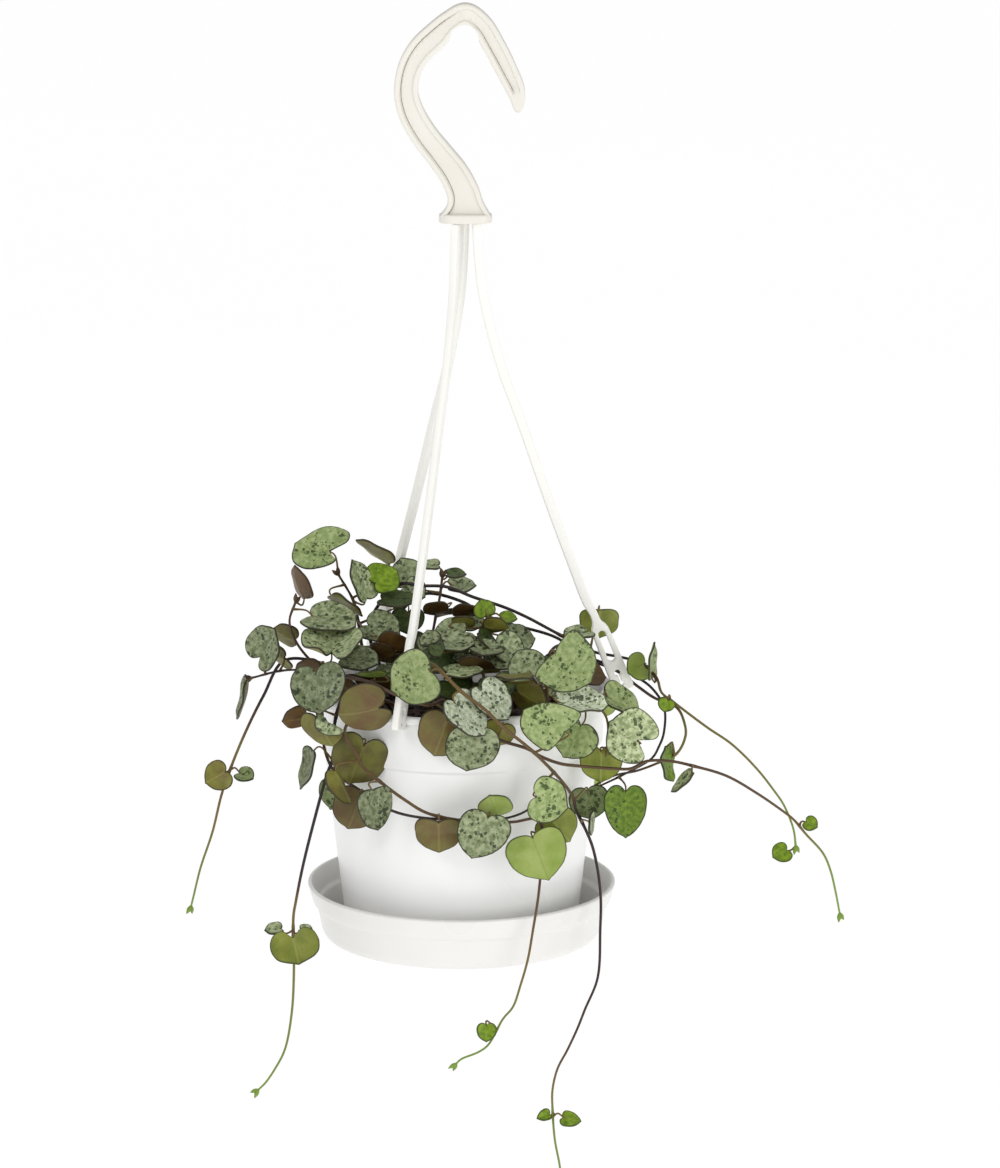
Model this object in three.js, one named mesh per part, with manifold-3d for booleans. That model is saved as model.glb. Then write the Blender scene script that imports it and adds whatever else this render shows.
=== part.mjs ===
// A string of hearts in its hanging pot: a moulded hook with three arms, a 12 cm pot with a clip-on saucer,
// potting soil, and trailing stems with heart-shaped leaves.
// Millimetres, +Z up, +X to the right and -Y towards the front. The origin is the hook's seat, the highest
// point inside the hook's bend, where the whole thing hangs on a rail.

import * as THREE from 'three';
import { mergeVertices } from 'three/addons/utils/BufferGeometryUtils.js';
import Module from 'manifold-3d';

const wasm = await Module();
wasm.setup();

// ---------------------------------------------------------------- driving dimensions

const GAP = 0.35; // left between two solids that touch
const POT_X = -1.6; // the pot's axis hangs a little left of the hook's seat

const HOOK_DEPTH = 7.5;
const HOOK_BEAD = 2.1; // width of the raised bead along both edges
const HOOK_RECESS = 2.2; // depth of the sunk web on each side
const SEAT_RADIUS = 5.6;
const FLANGE = { width: 20.8, depth: 11, top: -73.4, bottom: -77 };

const ARM_THICKNESS = 2.8;
const ARM_HALF_WIDTH = 1.75;
const STRAP_HALF_WIDTH = 4.2;
const STRAP_SLOT_HALF_WIDTH = 1.5;

const RIM_Z = -261.5;
const LIP_RADIUS = 60.2;
const LIP_HEIGHT = 3;
const BAND_RADIUS = 57.2;
const BAND_HEIGHT = 22;
const POT_BASE_Z = -361.5;
const POT_BASE_RADIUS = 46;
const POT_WALL = 1.6;
const DRAIN_HOLES = { count: 6, radius: 3.5, ring: 30 };

const SAUCER_RIM_Z = -341.4;
const SAUCER_RADIUS = 61.5;
const SAUCER_BASE_Z = -363.6;
const SAUCER_BASE_RADIUS = 52.5;
const SAUCER_FLOOR = 1.7;

const SOIL_Z = -274;

const STEM_RADIUS = 0.75;
const PETIOLE_RADIUS = 0.45;
const LEAF_THICKNESS = 1;
const STEM_STEP = 9; // length of one straight piece of a stem or leaf stalk

// ---------------------------------------------------------------- materials

const paint = (color, roughness) => new THREE.MeshStandardMaterial({ color, roughness, metalness: 0 });

const HANGER_PLASTIC = 0xe9e6dc;
const POT_PLASTIC = 0xf0f1f1;
const SOIL = 0x2b201a;
const STEM_BARK = 0x4a3327;

// The side of the blade that shows: silvery or green tops, olive, tan and purplish-brown undersides.
const LEAF_COLOURS = {
  silver: 0x9fb39a,
  fresh: 0x9dbd7c,
  deep: 0x4d6a2e,
  young: 0x79a832,
  olive: 0x7b7d35,
  tan: 0x94875a,
  brown: 0x6a4f35,
  lime: 0x9bb25e,
};

// ---------------------------------------------------------------- solids

function toSolid(geometry) {
  const bare = geometry.index ? geometry.toNonIndexed() : geometry.clone();
  bare.deleteAttribute('normal');
  bare.deleteAttribute('uv');
  const merged = mergeVertices(bare, 1e-3);
  const vertProperties = merged.attributes.position.array;
  return new wasm.Manifold(new wasm.Mesh({ numProp: 3, vertProperties, triVerts: merged.index.array }));
}

function toGeometry(solid) {
  const { vertProperties, triVerts } = solid.getMesh();
  const geometry = new THREE.BufferGeometry();
  geometry.setAttribute('position', new THREE.BufferAttribute(vertProperties, 3));
  geometry.setIndex(new THREE.BufferAttribute(triVerts, 1));
  return geometry;
}

// A closed profile of [radius, z] points turned about the pot's axis.
function turned(profile, segments) {
  const points = profile.map(([radius, z]) => new THREE.Vector2(radius, z));
  return new THREE.LatheGeometry(points, segments).rotateX(Math.PI / 2).translate(POT_X, 0, 0);
}

// A flat band drawn along a centre line in the XY plane; halfWidth is a number or one number for each point.
function ribbon(centre, halfWidth, samples) {
  const widths = centre.map((_, i) => (Array.isArray(halfWidth) ? halfWidth[i] : halfWidth));
  const curve = new THREE.CatmullRomCurve3(centre.map(([x, y], i) => new THREE.Vector3(x, y, widths[i])));
  const left = [];
  const right = [];
  for (let i = 0; i <= samples; i++) {
    const p = curve.getPoint(i / samples);
    const ahead = curve.getTangent(i / samples).setZ(0).normalize();
    left.push(new THREE.Vector2(p.x - ahead.y * p.z, p.y + ahead.x * p.z));
    right.unshift(new THREE.Vector2(p.x + ahead.y * p.z, p.y - ahead.x * p.z));
  }
  return new THREE.Shape([...left, ...right]);
}

// A slab of the given thickness, drawn in the upright XZ plane and centred on y = 0.
function upright(shape, thickness) {
  const flat = { depth: thickness, bevelEnabled: false, curveSegments: 5 };
  return new THREE.ExtrudeGeometry(shape, flat).translate(0, 0, -thickness / 2).rotateX(Math.PI / 2);
}

function smoothLine(points) {
  const path = new THREE.CatmullRomCurve3(points, false, 'centripetal');
  return { path, steps: Math.max(2, Math.ceil(path.getLength() / STEM_STEP)) };
}

// A square rod of the given radius along a smooth line through the points.
function rod(points, radius) {
  const { path, steps } = smoothLine(points);
  const section = new THREE.Shape();
  section.moveTo(radius, 0);
  section.lineTo(0, radius);
  section.lineTo(-radius, 0);
  section.lineTo(0, -radius);
  return new THREE.ExtrudeGeometry(section, { steps, extrudePath: path });
}

// ---------------------------------------------------------------- hanger

// The hook's centre line from its tip round the bend and down to the flange, as [x, z, half width].
const HOOK_LINE = [
  [20.9, -34, 1.3], [20.2, -26.5, 3.4], [16.3, -17.5, 4.1], [11.4, -8, 4.3], [6.6, -0.3, 4.3],
  [0.6, 3.9, 4.3], [-5.6, 0.9, 4.3], [-10.9, -4.5, 4.3], [-16.7, -9.9, 4.3], [-21, -16.9, 4.5],
  [-22.5, -25.8, 4.7], [-20.6, -33.9, 5], [-15.6, -42.8, 5.2], [-9.5, -50.6, 5.4], [-4, -58, 5.8],
  [-0.6, -65.1, 6.3], [0.4, -70, 7.2], [0.4, -74.5, 8.2],
];

function hook() {
  const line = HOOK_LINE.map(([x, z]) => [x, z]);
  const outline = ribbon(line, HOOK_LINE.map(([, , half]) => half), 32);
  let body = toSolid(upright(outline, HOOK_DEPTH));

  const webLine = line.slice(1, -1);
  const web = ribbon(webLine, HOOK_LINE.slice(1, -1).map(([, , half]) => half - HOOK_BEAD), 30);
  for (const side of [-1, 1]) {
    const sunk = upright(web, HOOK_RECESS * 2).translate(0, (side * HOOK_DEPTH) / 2, 0);
    body = body.subtract(toSolid(sunk));
  }

  const seat = new THREE.CylinderGeometry(SEAT_RADIUS, SEAT_RADIUS, HOOK_DEPTH * 2, 24);
  body = body.subtract(toSolid(seat.translate(0, 0, -SEAT_RADIUS)));

  const foot = new THREE.Shape();
  const round = FLANGE.depth / 2;
  const reach = FLANGE.width / 2 - round;
  foot.absarc(reach, 0, round, -Math.PI / 2, Math.PI / 2);
  foot.absarc(-reach, 0, round, Math.PI / 2, (3 * Math.PI) / 2);
  const height = FLANGE.top - FLANGE.bottom;
  const plate = new THREE.ExtrudeGeometry(foot, { depth: height, bevelEnabled: false, curveSegments: 6 });
  return body.add(toSolid(plate.translate(0.4, 0, FLANGE.bottom)));
}

// Each arm lies in an upright plane from its place under the flange to its place on the rim.
const ARMS = [
  { name: 'hanger_arm_front_left', top: [-3.5, -3.2], rimAngle: 248.5 },
  { name: 'hanger_arm_back_left', top: [0, 3.2], rimAngle: 124.8 },
  { name: 'hanger_arm_right', top: [4.6, 0], rimAngle: 6.8 },
];

// The bow of an arm, as [share of the way out to the rim, z]: it leaves the flange upright, then swings out.
const ARM_BOW = [
  [0, -77.35], [0.044, -104], [0.18, -134], [0.326, -156], [0.53, -188], [0.692, -212], [0.82, -230],
  [0.875, -239],
];
const STRAP_RISE = 24.5; // the strap begins this far above the rim
const STRAP_DROP = 4.6; // and ends this far below it
const STRAP_LEAN = 0.4; // millimetres out for each millimetre down
const STRAP_OUT = 2.4; // how far outside the lip's edge its centre line passes the rim
const STRAP_SLOTS = [[20.1, 7.4], [3.4, -1.8]]; // top and bottom of each slot, above the rim
const TOE = { reach: 2.5, height: 1.4 };

function arm({ top, rimAngle }) {
  const angle = THREE.MathUtils.degToRad(rimAngle);
  const rim = new THREE.Vector2(POT_X + LIP_RADIUS * Math.cos(angle), LIP_RADIUS * Math.sin(angle));
  const from = new THREE.Vector2(...top);
  const span = rim.distanceTo(from);
  const onStrap = (rise) => [span + STRAP_OUT - STRAP_LEAN * rise, RIM_Z + rise];

  const bow = ARM_BOW.map(([share, z]) => [share * span, z]);
  const strip = upright(ribbon(bow, ARM_HALF_WIDTH, 16), ARM_THICKNESS);
  const plateLine = [onStrap(STRAP_RISE), onStrap(0), onStrap(-STRAP_DROP)];
  let plate = toSolid(upright(ribbon(plateLine, STRAP_HALF_WIDTH, 2), ARM_THICKNESS));
  for (const [high, low] of STRAP_SLOTS) {
    const slot = ribbon([onStrap(high), onStrap(low)], STRAP_SLOT_HALF_WIDTH, 1);
    plate = plate.subtract(toSolid(upright(slot, ARM_THICKNESS * 2)));
  }
  const toe = new THREE.BoxGeometry(TOE.reach + STRAP_HALF_WIDTH, ARM_THICKNESS, TOE.height);
  const toeEnd = span - LIP_RADIUS + BAND_RADIUS + GAP;
  toe.translate(toeEnd + (TOE.reach + STRAP_HALF_WIDTH) / 2, 0, RIM_Z - LIP_HEIGHT - GAP - TOE.height / 2);

  // The lip's own space, with its clearance, is what the strap hooks over and under.
  const lip = turned(
    [
      [BAND_RADIUS - 2, RIM_Z + GAP],
      [BAND_RADIUS - 2, RIM_Z - LIP_HEIGHT - GAP],
      [LIP_RADIUS + GAP, RIM_Z - LIP_HEIGHT - GAP],
      [LIP_RADIUS + GAP, RIM_Z + GAP],
      [BAND_RADIUS - 2, RIM_Z + GAP],
    ],
    72,
  );
  const heading = Math.atan2(rim.y - from.y, rim.x - from.x);
  const solid = toSolid(strip).add(plate).add(toSolid(toe));
  const placed = toGeometry(solid).rotateZ(heading).translate(from.x, from.y, 0);
  return toSolid(placed).subtract(toSolid(lip));
}

// ---------------------------------------------------------------- pot, saucer and soil

function pot() {
  const lipBottom = RIM_Z - LIP_HEIGHT;
  const bandBottom = RIM_Z - BAND_HEIGHT;
  const wall = turned(
    [
      [0, POT_BASE_Z + 0.8],
      [POT_BASE_RADIUS - 5, POT_BASE_Z + 0.8],
      [POT_BASE_RADIUS - 4.2, POT_BASE_Z],
      [POT_BASE_RADIUS - 0.8, POT_BASE_Z],
      [POT_BASE_RADIUS, POT_BASE_Z + 0.8],
      [BAND_RADIUS - 2.4, bandBottom - 1],
      [BAND_RADIUS - 1, bandBottom],
      [BAND_RADIUS, lipBottom],
      [LIP_RADIUS - 0.4, lipBottom],
      [LIP_RADIUS, lipBottom + 0.6],
      [LIP_RADIUS, RIM_Z - 0.8],
      [LIP_RADIUS - 0.8, RIM_Z],
      [BAND_RADIUS - 0.2, RIM_Z],
      [BAND_RADIUS - POT_WALL, RIM_Z - 1.5],
      [BAND_RADIUS - 1 - POT_WALL, bandBottom],
      [BAND_RADIUS - 2.4 - POT_WALL, bandBottom - 2],
      [POT_BASE_RADIUS - POT_WALL, POT_BASE_Z + 2.6],
      [0, POT_BASE_Z + 2.6],
    ],
    40,
  );
  let solid = toSolid(wall);
  for (let i = 0; i < DRAIN_HOLES.count; i++) {
    const angle = (2 * Math.PI * i) / DRAIN_HOLES.count;
    const hole = new THREE.CylinderGeometry(DRAIN_HOLES.radius, DRAIN_HOLES.radius, 8, 8);
    const x = POT_X + DRAIN_HOLES.ring * Math.cos(angle);
    hole.rotateX(Math.PI / 2).translate(x, DRAIN_HOLES.ring * Math.sin(angle), POT_BASE_Z);
    solid = solid.subtract(toSolid(hole));
  }
  return solid;
}

function saucer() {
  return toSolid(
    turned(
      [
        [0, SAUCER_BASE_Z],
        [SAUCER_BASE_RADIUS, SAUCER_BASE_Z],
        [SAUCER_BASE_RADIUS + 2.2, SAUCER_BASE_Z + 1],
        [SAUCER_BASE_RADIUS + 3.4, SAUCER_BASE_Z + 3.2],
        [SAUCER_RADIUS - 3.6, SAUCER_RIM_Z - 9],
        [SAUCER_RADIUS - 2.2, SAUCER_RIM_Z - 8],
        [SAUCER_RADIUS, SAUCER_RIM_Z - 0.6],
        [SAUCER_RADIUS - 0.6, SAUCER_RIM_Z],
        [SAUCER_RADIUS - 1.6, SAUCER_RIM_Z],
        [SAUCER_RADIUS - 3.8, SAUCER_RIM_Z - 8],
        [SAUCER_RADIUS - 5.2, SAUCER_RIM_Z - 9],
        [SAUCER_BASE_RADIUS + 1.2, SAUCER_BASE_Z + 4],
        [SAUCER_BASE_RADIUS, SAUCER_BASE_Z + SAUCER_FLOOR],
        [0, SAUCER_BASE_Z + SAUCER_FLOOR],
      ],
      40,
    ),
  );
}

function soil() {
  const bandBottom = RIM_Z - BAND_HEIGHT;
  return toSolid(
    turned(
      [
        [0, POT_BASE_Z + 2.6 + GAP],
        [POT_BASE_RADIUS - POT_WALL - 0.6, POT_BASE_Z + 2.6 + GAP],
        [BAND_RADIUS - 2.4 - POT_WALL - 0.5, bandBottom - 2.5],
        [BAND_RADIUS - 1 - POT_WALL - 0.5, bandBottom],
        [BAND_RADIUS - 1 - POT_WALL - 0.3, SOIL_Z - 1],
        [BAND_RADIUS - 8, SOIL_Z],
        [0, SOIL_Z],
      ],
      40,
    ),
  );
}

// ---------------------------------------------------------------- stems and leaves

// Stems and leaves are placed as a person in front of the pot judges them: across and down from the hook's
// seat on the upright plane through it, then out along the line of sight, towards the eye where positive.
const EYE = new THREE.Vector3(13.8, -1900, 190);

function sight([across, down, out]) {
  const onPlane = new THREE.Vector3(across, 0, -down);
  return EYE.clone().lerp(onPlane, 1 - out / -EYE.y);
}

// Each stem has its root on the soil, as [x, y], then its nodes up to its tip, as [across, down, out].
const VINES = {
  vine_far_left: {
    root: [-38, -2],
    nodes: [
      [-48, 258, 4], [-60, 252, 8], [-72, 252, 10], [-80, 266, 10], [-86, 278, 9], [-92, 292, 8],
      [-97, 306, 8], [-101, 322, 7], [-106, 337, 7], [-109, 349, 6], [-110, 353, 6],
    ],
  },
  vine_left_trail: {
    root: [-28, -20],
    nodes: [
      [-40, 262, 40], [-48, 266, 46], [-52, 278, 46], [-52, 290, 44], [-55, 298, 43],
      [-60, 316, 43], [-65, 336, 42], [-68, 351, 42], [-69, 357, 42], [-69, 379, 41],
      [-70, 397, 41], [-73, 413, 40], [-77, 421, 40], [-81, 427, 40], [-84, 430, 40],
    ],
  },
  vine_front_swag: {
    root: [-22, -32],
    nodes: [
      [-34, 268, 50], [-44, 274, 53], [-48, 281, 54], [-44, 289, 55], [-41, 295, 56],
      [-32, 303, 58], [-24, 309, 60], [-16, 314, 61], [-4, 317, 62], [8, 318, 62], [19, 318, 61],
      [29, 317, 60], [31, 325, 60], [30, 340, 60], [29, 350, 60], [27, 363, 60], [25, 375, 60],
      [22, 386, 60], [19, 395, 60], [15, 400, 60], [9, 411, 60], [5, 414, 60], [-2, 417, 60],
      [-4, 419, 60],
    ],
  },
  vine_long_trail: {
    root: [-12, -30],
    nodes: [
      [-16, 262, 50], [-14, 253, 60], [-1, 265, 70], [8, 272, 75], [15, 279, 75.5], [28, 290, 67],
      [43, 308, 46], [44, 313, 45], [47, 319, 44], [51, 329, 43], [54, 347, 42], [54, 363, 42],
      [53, 383, 41], [48, 396, 41], [45, 404, 41], [41, 413, 41], [37, 421, 41], [35, 430, 41],
      [35, 437, 41], [36, 451, 41], [38, 462, 41], [39, 472, 41], [38, 480, 41],
    ],
  },
  vine_right_upper: {
    root: [-30, 20],
    nodes: [
      [-38, 238, -16], [-26, 221, -14], [-17, 221.5, -12], [-7, 222, -8], [3, 226, -6],
      [15, 230, -5], [24, 234, -4], [35, 240, -6], [50, 248, -14], [62, 250.5, -14], [70, 253, -6],
      [76, 259, 2], [78, 265, 8], [83, 269, 12], [96, 279, 16], [106, 286, 20], [116, 296, 23],
      [123, 305, 25], [127, 311, 25], [131, 321, 25], [132, 328, 25],
    ],
  },
  vine_right_lower: {
    root: [5, -35],
    nodes: [
      [-2.5, 268, 55], [-2, 274, 64], [6, 281, 65], [14, 284.5, 63], [25, 288, 58], [30, 291, 57],
      [38, 294, 53], [46, 295, 50], [59, 296, 47], [66, 296, 45], [72, 293, 44], [82, 293, 43],
      [91, 295, 41], [104, 299, 38], [116, 306, 36], [126, 313, 35], [131, 317, 34],
      [136, 323, 33], [143, 331, 32], [146, 338, 31], [148, 346, 30], [150, 356, 30],
    ],
  },
  vine_right_loop: {
    root: [-24, 26],
    nodes: [
      [-28, 238, -30], [-17, 225, -26], [-1, 228, -22], [7, 233, -20], [18, 237, -17],
      [35, 242, -14], [48, 250, -19], [58, 254, -19], [67, 258, -8], [74, 263, 0], [79, 271, 8],
      [79, 281, 16], [77, 287, 24], [74, 292, 30], [62, 299, 36], [52, 304, 35], [47, 307, 36],
    ],
  },
  vine_right_inner_loop: {
    root: [20, 12],
    nodes: [
      [36, 248, -24], [50, 252, -24], [60, 256, -20], [68, 262, -12], [75, 267, -5], [84, 271, 4],
      [87, 277, 12], [87.5, 283, 20], [84, 290, 26], [76, 294, 25], [68, 297, 27], [59, 299, 30],
      [50, 304, 30], [45, 308, 32],
    ],
  },
  vine_left_runner: {
    root: [-6, -26],
    nodes: [
      [-9, 268, 54], [-15, 270, 63], [-27, 266, 66], [-37, 261, 60], [-48, 258, 52],
      [-60, 256, 42], [-73, 256, 30], [-85, 259, 26],
    ],
  },
  vine_swag_loop: {
    root: [-32, -12],
    nodes: [
      [-44, 258, 28], [-54, 262, 33], [-57, 280, 35], [-53, 296, 38], [-42, 305, 47],
      [-30, 313, 54], [-19, 316, 58], [-4, 317, 58], [8, 317, 58], [18, 316, 57], [26, 312, 56],
      [31, 302, 56],
    ],
  },
  vine_left_crown: {
    root: [-36, 8],
    nodes: [
      [-40, 252, -6], [-42, 238, -6], [-44, 228, -5], [-50, 217, -4],
    ],
  },
  vine_left_clump: {
    root: [-42, -8],
    nodes: [
      [-50, 260, 14], [-59, 254, 18], [-66.5, 245, 15], [-69.5, 236, 11], [-67, 228, 7],
    ],
  },
  vine_back_crown: {
    root: [-12, 14],
    nodes: [
      [-14, 250, -14], [-12, 236, -17], [-10, 226, -19], [-9, 218, -20],
    ],
  },
  vine_middle_crown: {
    root: [8, -8],
    nodes: [
      [8, 262, 6], [6, 250, 7], [8, 240, 5], [9, 234, 3],
    ],
  },
  vine_right_crown: {
    root: [28, -18],
    nodes: [
      [32, 270, 36], [34, 260, 47], [44, 267, 44], [55, 273, 44], [57, 282, 43], [57, 288, 42],
    ],
  },
  vine_back_left: {
    root: [-28, 34],
    nodes: [
      [-25, 246, -46], [-27, 244, -56], [-35, 250, -64], [-41, 268, -68], [-42, 292, -68],
      [-40, 318, -67], [-43, 336, -67],
    ],
  },
  vine_back_middle: {
    root: [2, 40],
    nodes: [
      [3, 247, -46], [4, 244, -58], [6, 250, -66], [8, 268, -69], [5, 294, -68], [10, 320, -67],
      [8, 344, -66],
    ],
  },
  vine_back_right: {
    root: [30, 28],
    nodes: [
      [34, 248, -38], [40, 246, -50], [44, 252, -57], [45, 268, -60], [42, 294, -58],
      [44, 316, -57], [41, 334, -57],
    ],
  },
};

// A leaf row holds its stem, the middle of its blade as [across, down, out], its width, the side that its
// upper face looks to (0 is the front, 90 the right, 180 the back), how far that face looks up, how far its
// tip is turned in the blade's plane from straight down, and its finish.
const LEAVES = [
  ['leaf_left_1', 'vine_left_crown', [-59.4, 206.6, -6], 22, 0, 46, -104, 'silver'],
  ['leaf_left_2', 'vine_left_crown', [-49, 229.2, 1], 17, 129, 50, -30, 'olive'],
  ['leaf_left_3', 'vine_left_clump', [-54.8, 235.2, 14], 22, 0, 70, 68, 'silver'],
  ['leaf_left_4', 'vine_left_clump', [-52.7, 244.6, 21], 27, 0, 67, 180, 'silver'],
  ['leaf_left_5', 'vine_left_runner', [-78.3, 246, 28], 19, -45, 10, 150, 'silver'],
  ['leaf_left_6', 'vine_left_runner', [-87.2, 265.5, 27], 18, -85, 12, 0, 'silver'],
  ['leaf_left_7', 'vine_left_runner', [-58.6, 263.4, 58], 22, 0, 25, 5, 'silver'],
  ['leaf_left_8', 'vine_left_trail', [-56.6, 279.8, 54], 19, 160, 20, -20, 'olive'],
  ['leaf_left_9', 'vine_front_swag', [-40.8, 272.6, 63], 22, 180, 25, 75, 'tan'],
  ['leaf_left_10', 'vine_left_trail', [-61.5, 294, 41], 18, -74, 14, 0, 'silver'],
  ['leaf_left_11', 'vine_left_trail', [-42.8, 293, 50.5], 23, 180, 8, 20, 'olive'],
  ['leaf_left_12', 'vine_swag_loop', [-43.8, 312.6, 55.2], 19, 190, 0, 20, 'tan'],
  ['leaf_left_13', 'vine_front_swag', [-36.8, 310.4, 69], 18.5, 45, 5, 0, 'silver'],
  ['leaf_front_1', 'vine_long_trail', [-19.9, 259.2, 70], 22, 0, 12, -65, 'fresh'],
  ['leaf_front_2', 'vine_long_trail', [-0.8, 273.6, 69.2], 20.5, 45, 38, 20, 'silver'],
  ['leaf_front_3', 'vine_right_lower', [10.1, 268, 59.5], 19.5, 42, 38, 20, 'silver'],
  ['leaf_front_4', 'vine_left_runner', [-9.2, 282, 62], 20, 180, 0, 20, 'tan'],
  ['leaf_front_5', 'vine_right_lower', [2.2, 288.6, 69.4], 21.5, 0, 12, -12, 'silver'],
  ['leaf_front_6', 'vine_long_trail', [34.2, 278.1, 68], 20, 0, 15, -118, 'fresh'],
  ['leaf_front_7', 'vine_long_trail', [33.8, 309.4, 64], 19, -15, 10, 75, 'fresh'],
  ['leaf_front_8', 'vine_front_swag', [29.4, 331.4, 64], 24, 180, 0, -20, 'lime'],
  ['leaf_front_9', 'vine_front_swag', [6.6, 322.3, 69], 21, 0, 10, -22, 'silver'],
  ['leaf_front_10', 'vine_front_swag', [-10.6, 322.8, 64], 19, 180, 25, 0, 'tan'],
  ['leaf_right_1', 'vine_right_crown', [41.3, 253.4, 56], 24.5, 0, 14, 51, 'fresh'],
  ['leaf_right_2', 'vine_right_crown', [43.6, 269.6, 56.4], 21.5, 0, 68, 84, 'silver'],
  ['leaf_right_3', 'vine_right_crown', [60.6, 269, 32], 18, 53, 48, 45, 'fresh'],
  ['leaf_right_4', 'vine_right_crown', [63, 280.8, 50], 22, 10, 20, -125, 'silver'],
  ['leaf_right_5', 'vine_right_crown', [43.2, 283.8, 57], 20, -20, 10, -25, 'fresh'],
  ['leaf_right_6', 'vine_right_crown', [54, 294, 40], 17, 180, 0, 0, 'olive'],
  ['leaf_right_7', 'vine_right_loop', [63.9, 310.9, 46], 17.5, 0, 5, 0, 'deep'],
  ['leaf_right_8', 'vine_right_upper', [53, 235.9, -24], 16.5, 180, 0, 0, 'olive'],
  ['leaf_trail_1', 'vine_left_trail', [-68.2, 371.5, 54], 19.5, 0, 45, 12, 'olive'],
  ['leaf_back_1', 'vine_back_left', [-33, 272, -75], 20, 180, 15, 10, 'silver'],
  ['leaf_back_2', 'vine_back_middle', [-3, 272, -76], 21, 170, 20, 15, 'silver'],
  ['leaf_back_3', 'vine_back_right', [36, 272, -66], 20, 175, 10, -10, 'fresh'],
];

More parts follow.
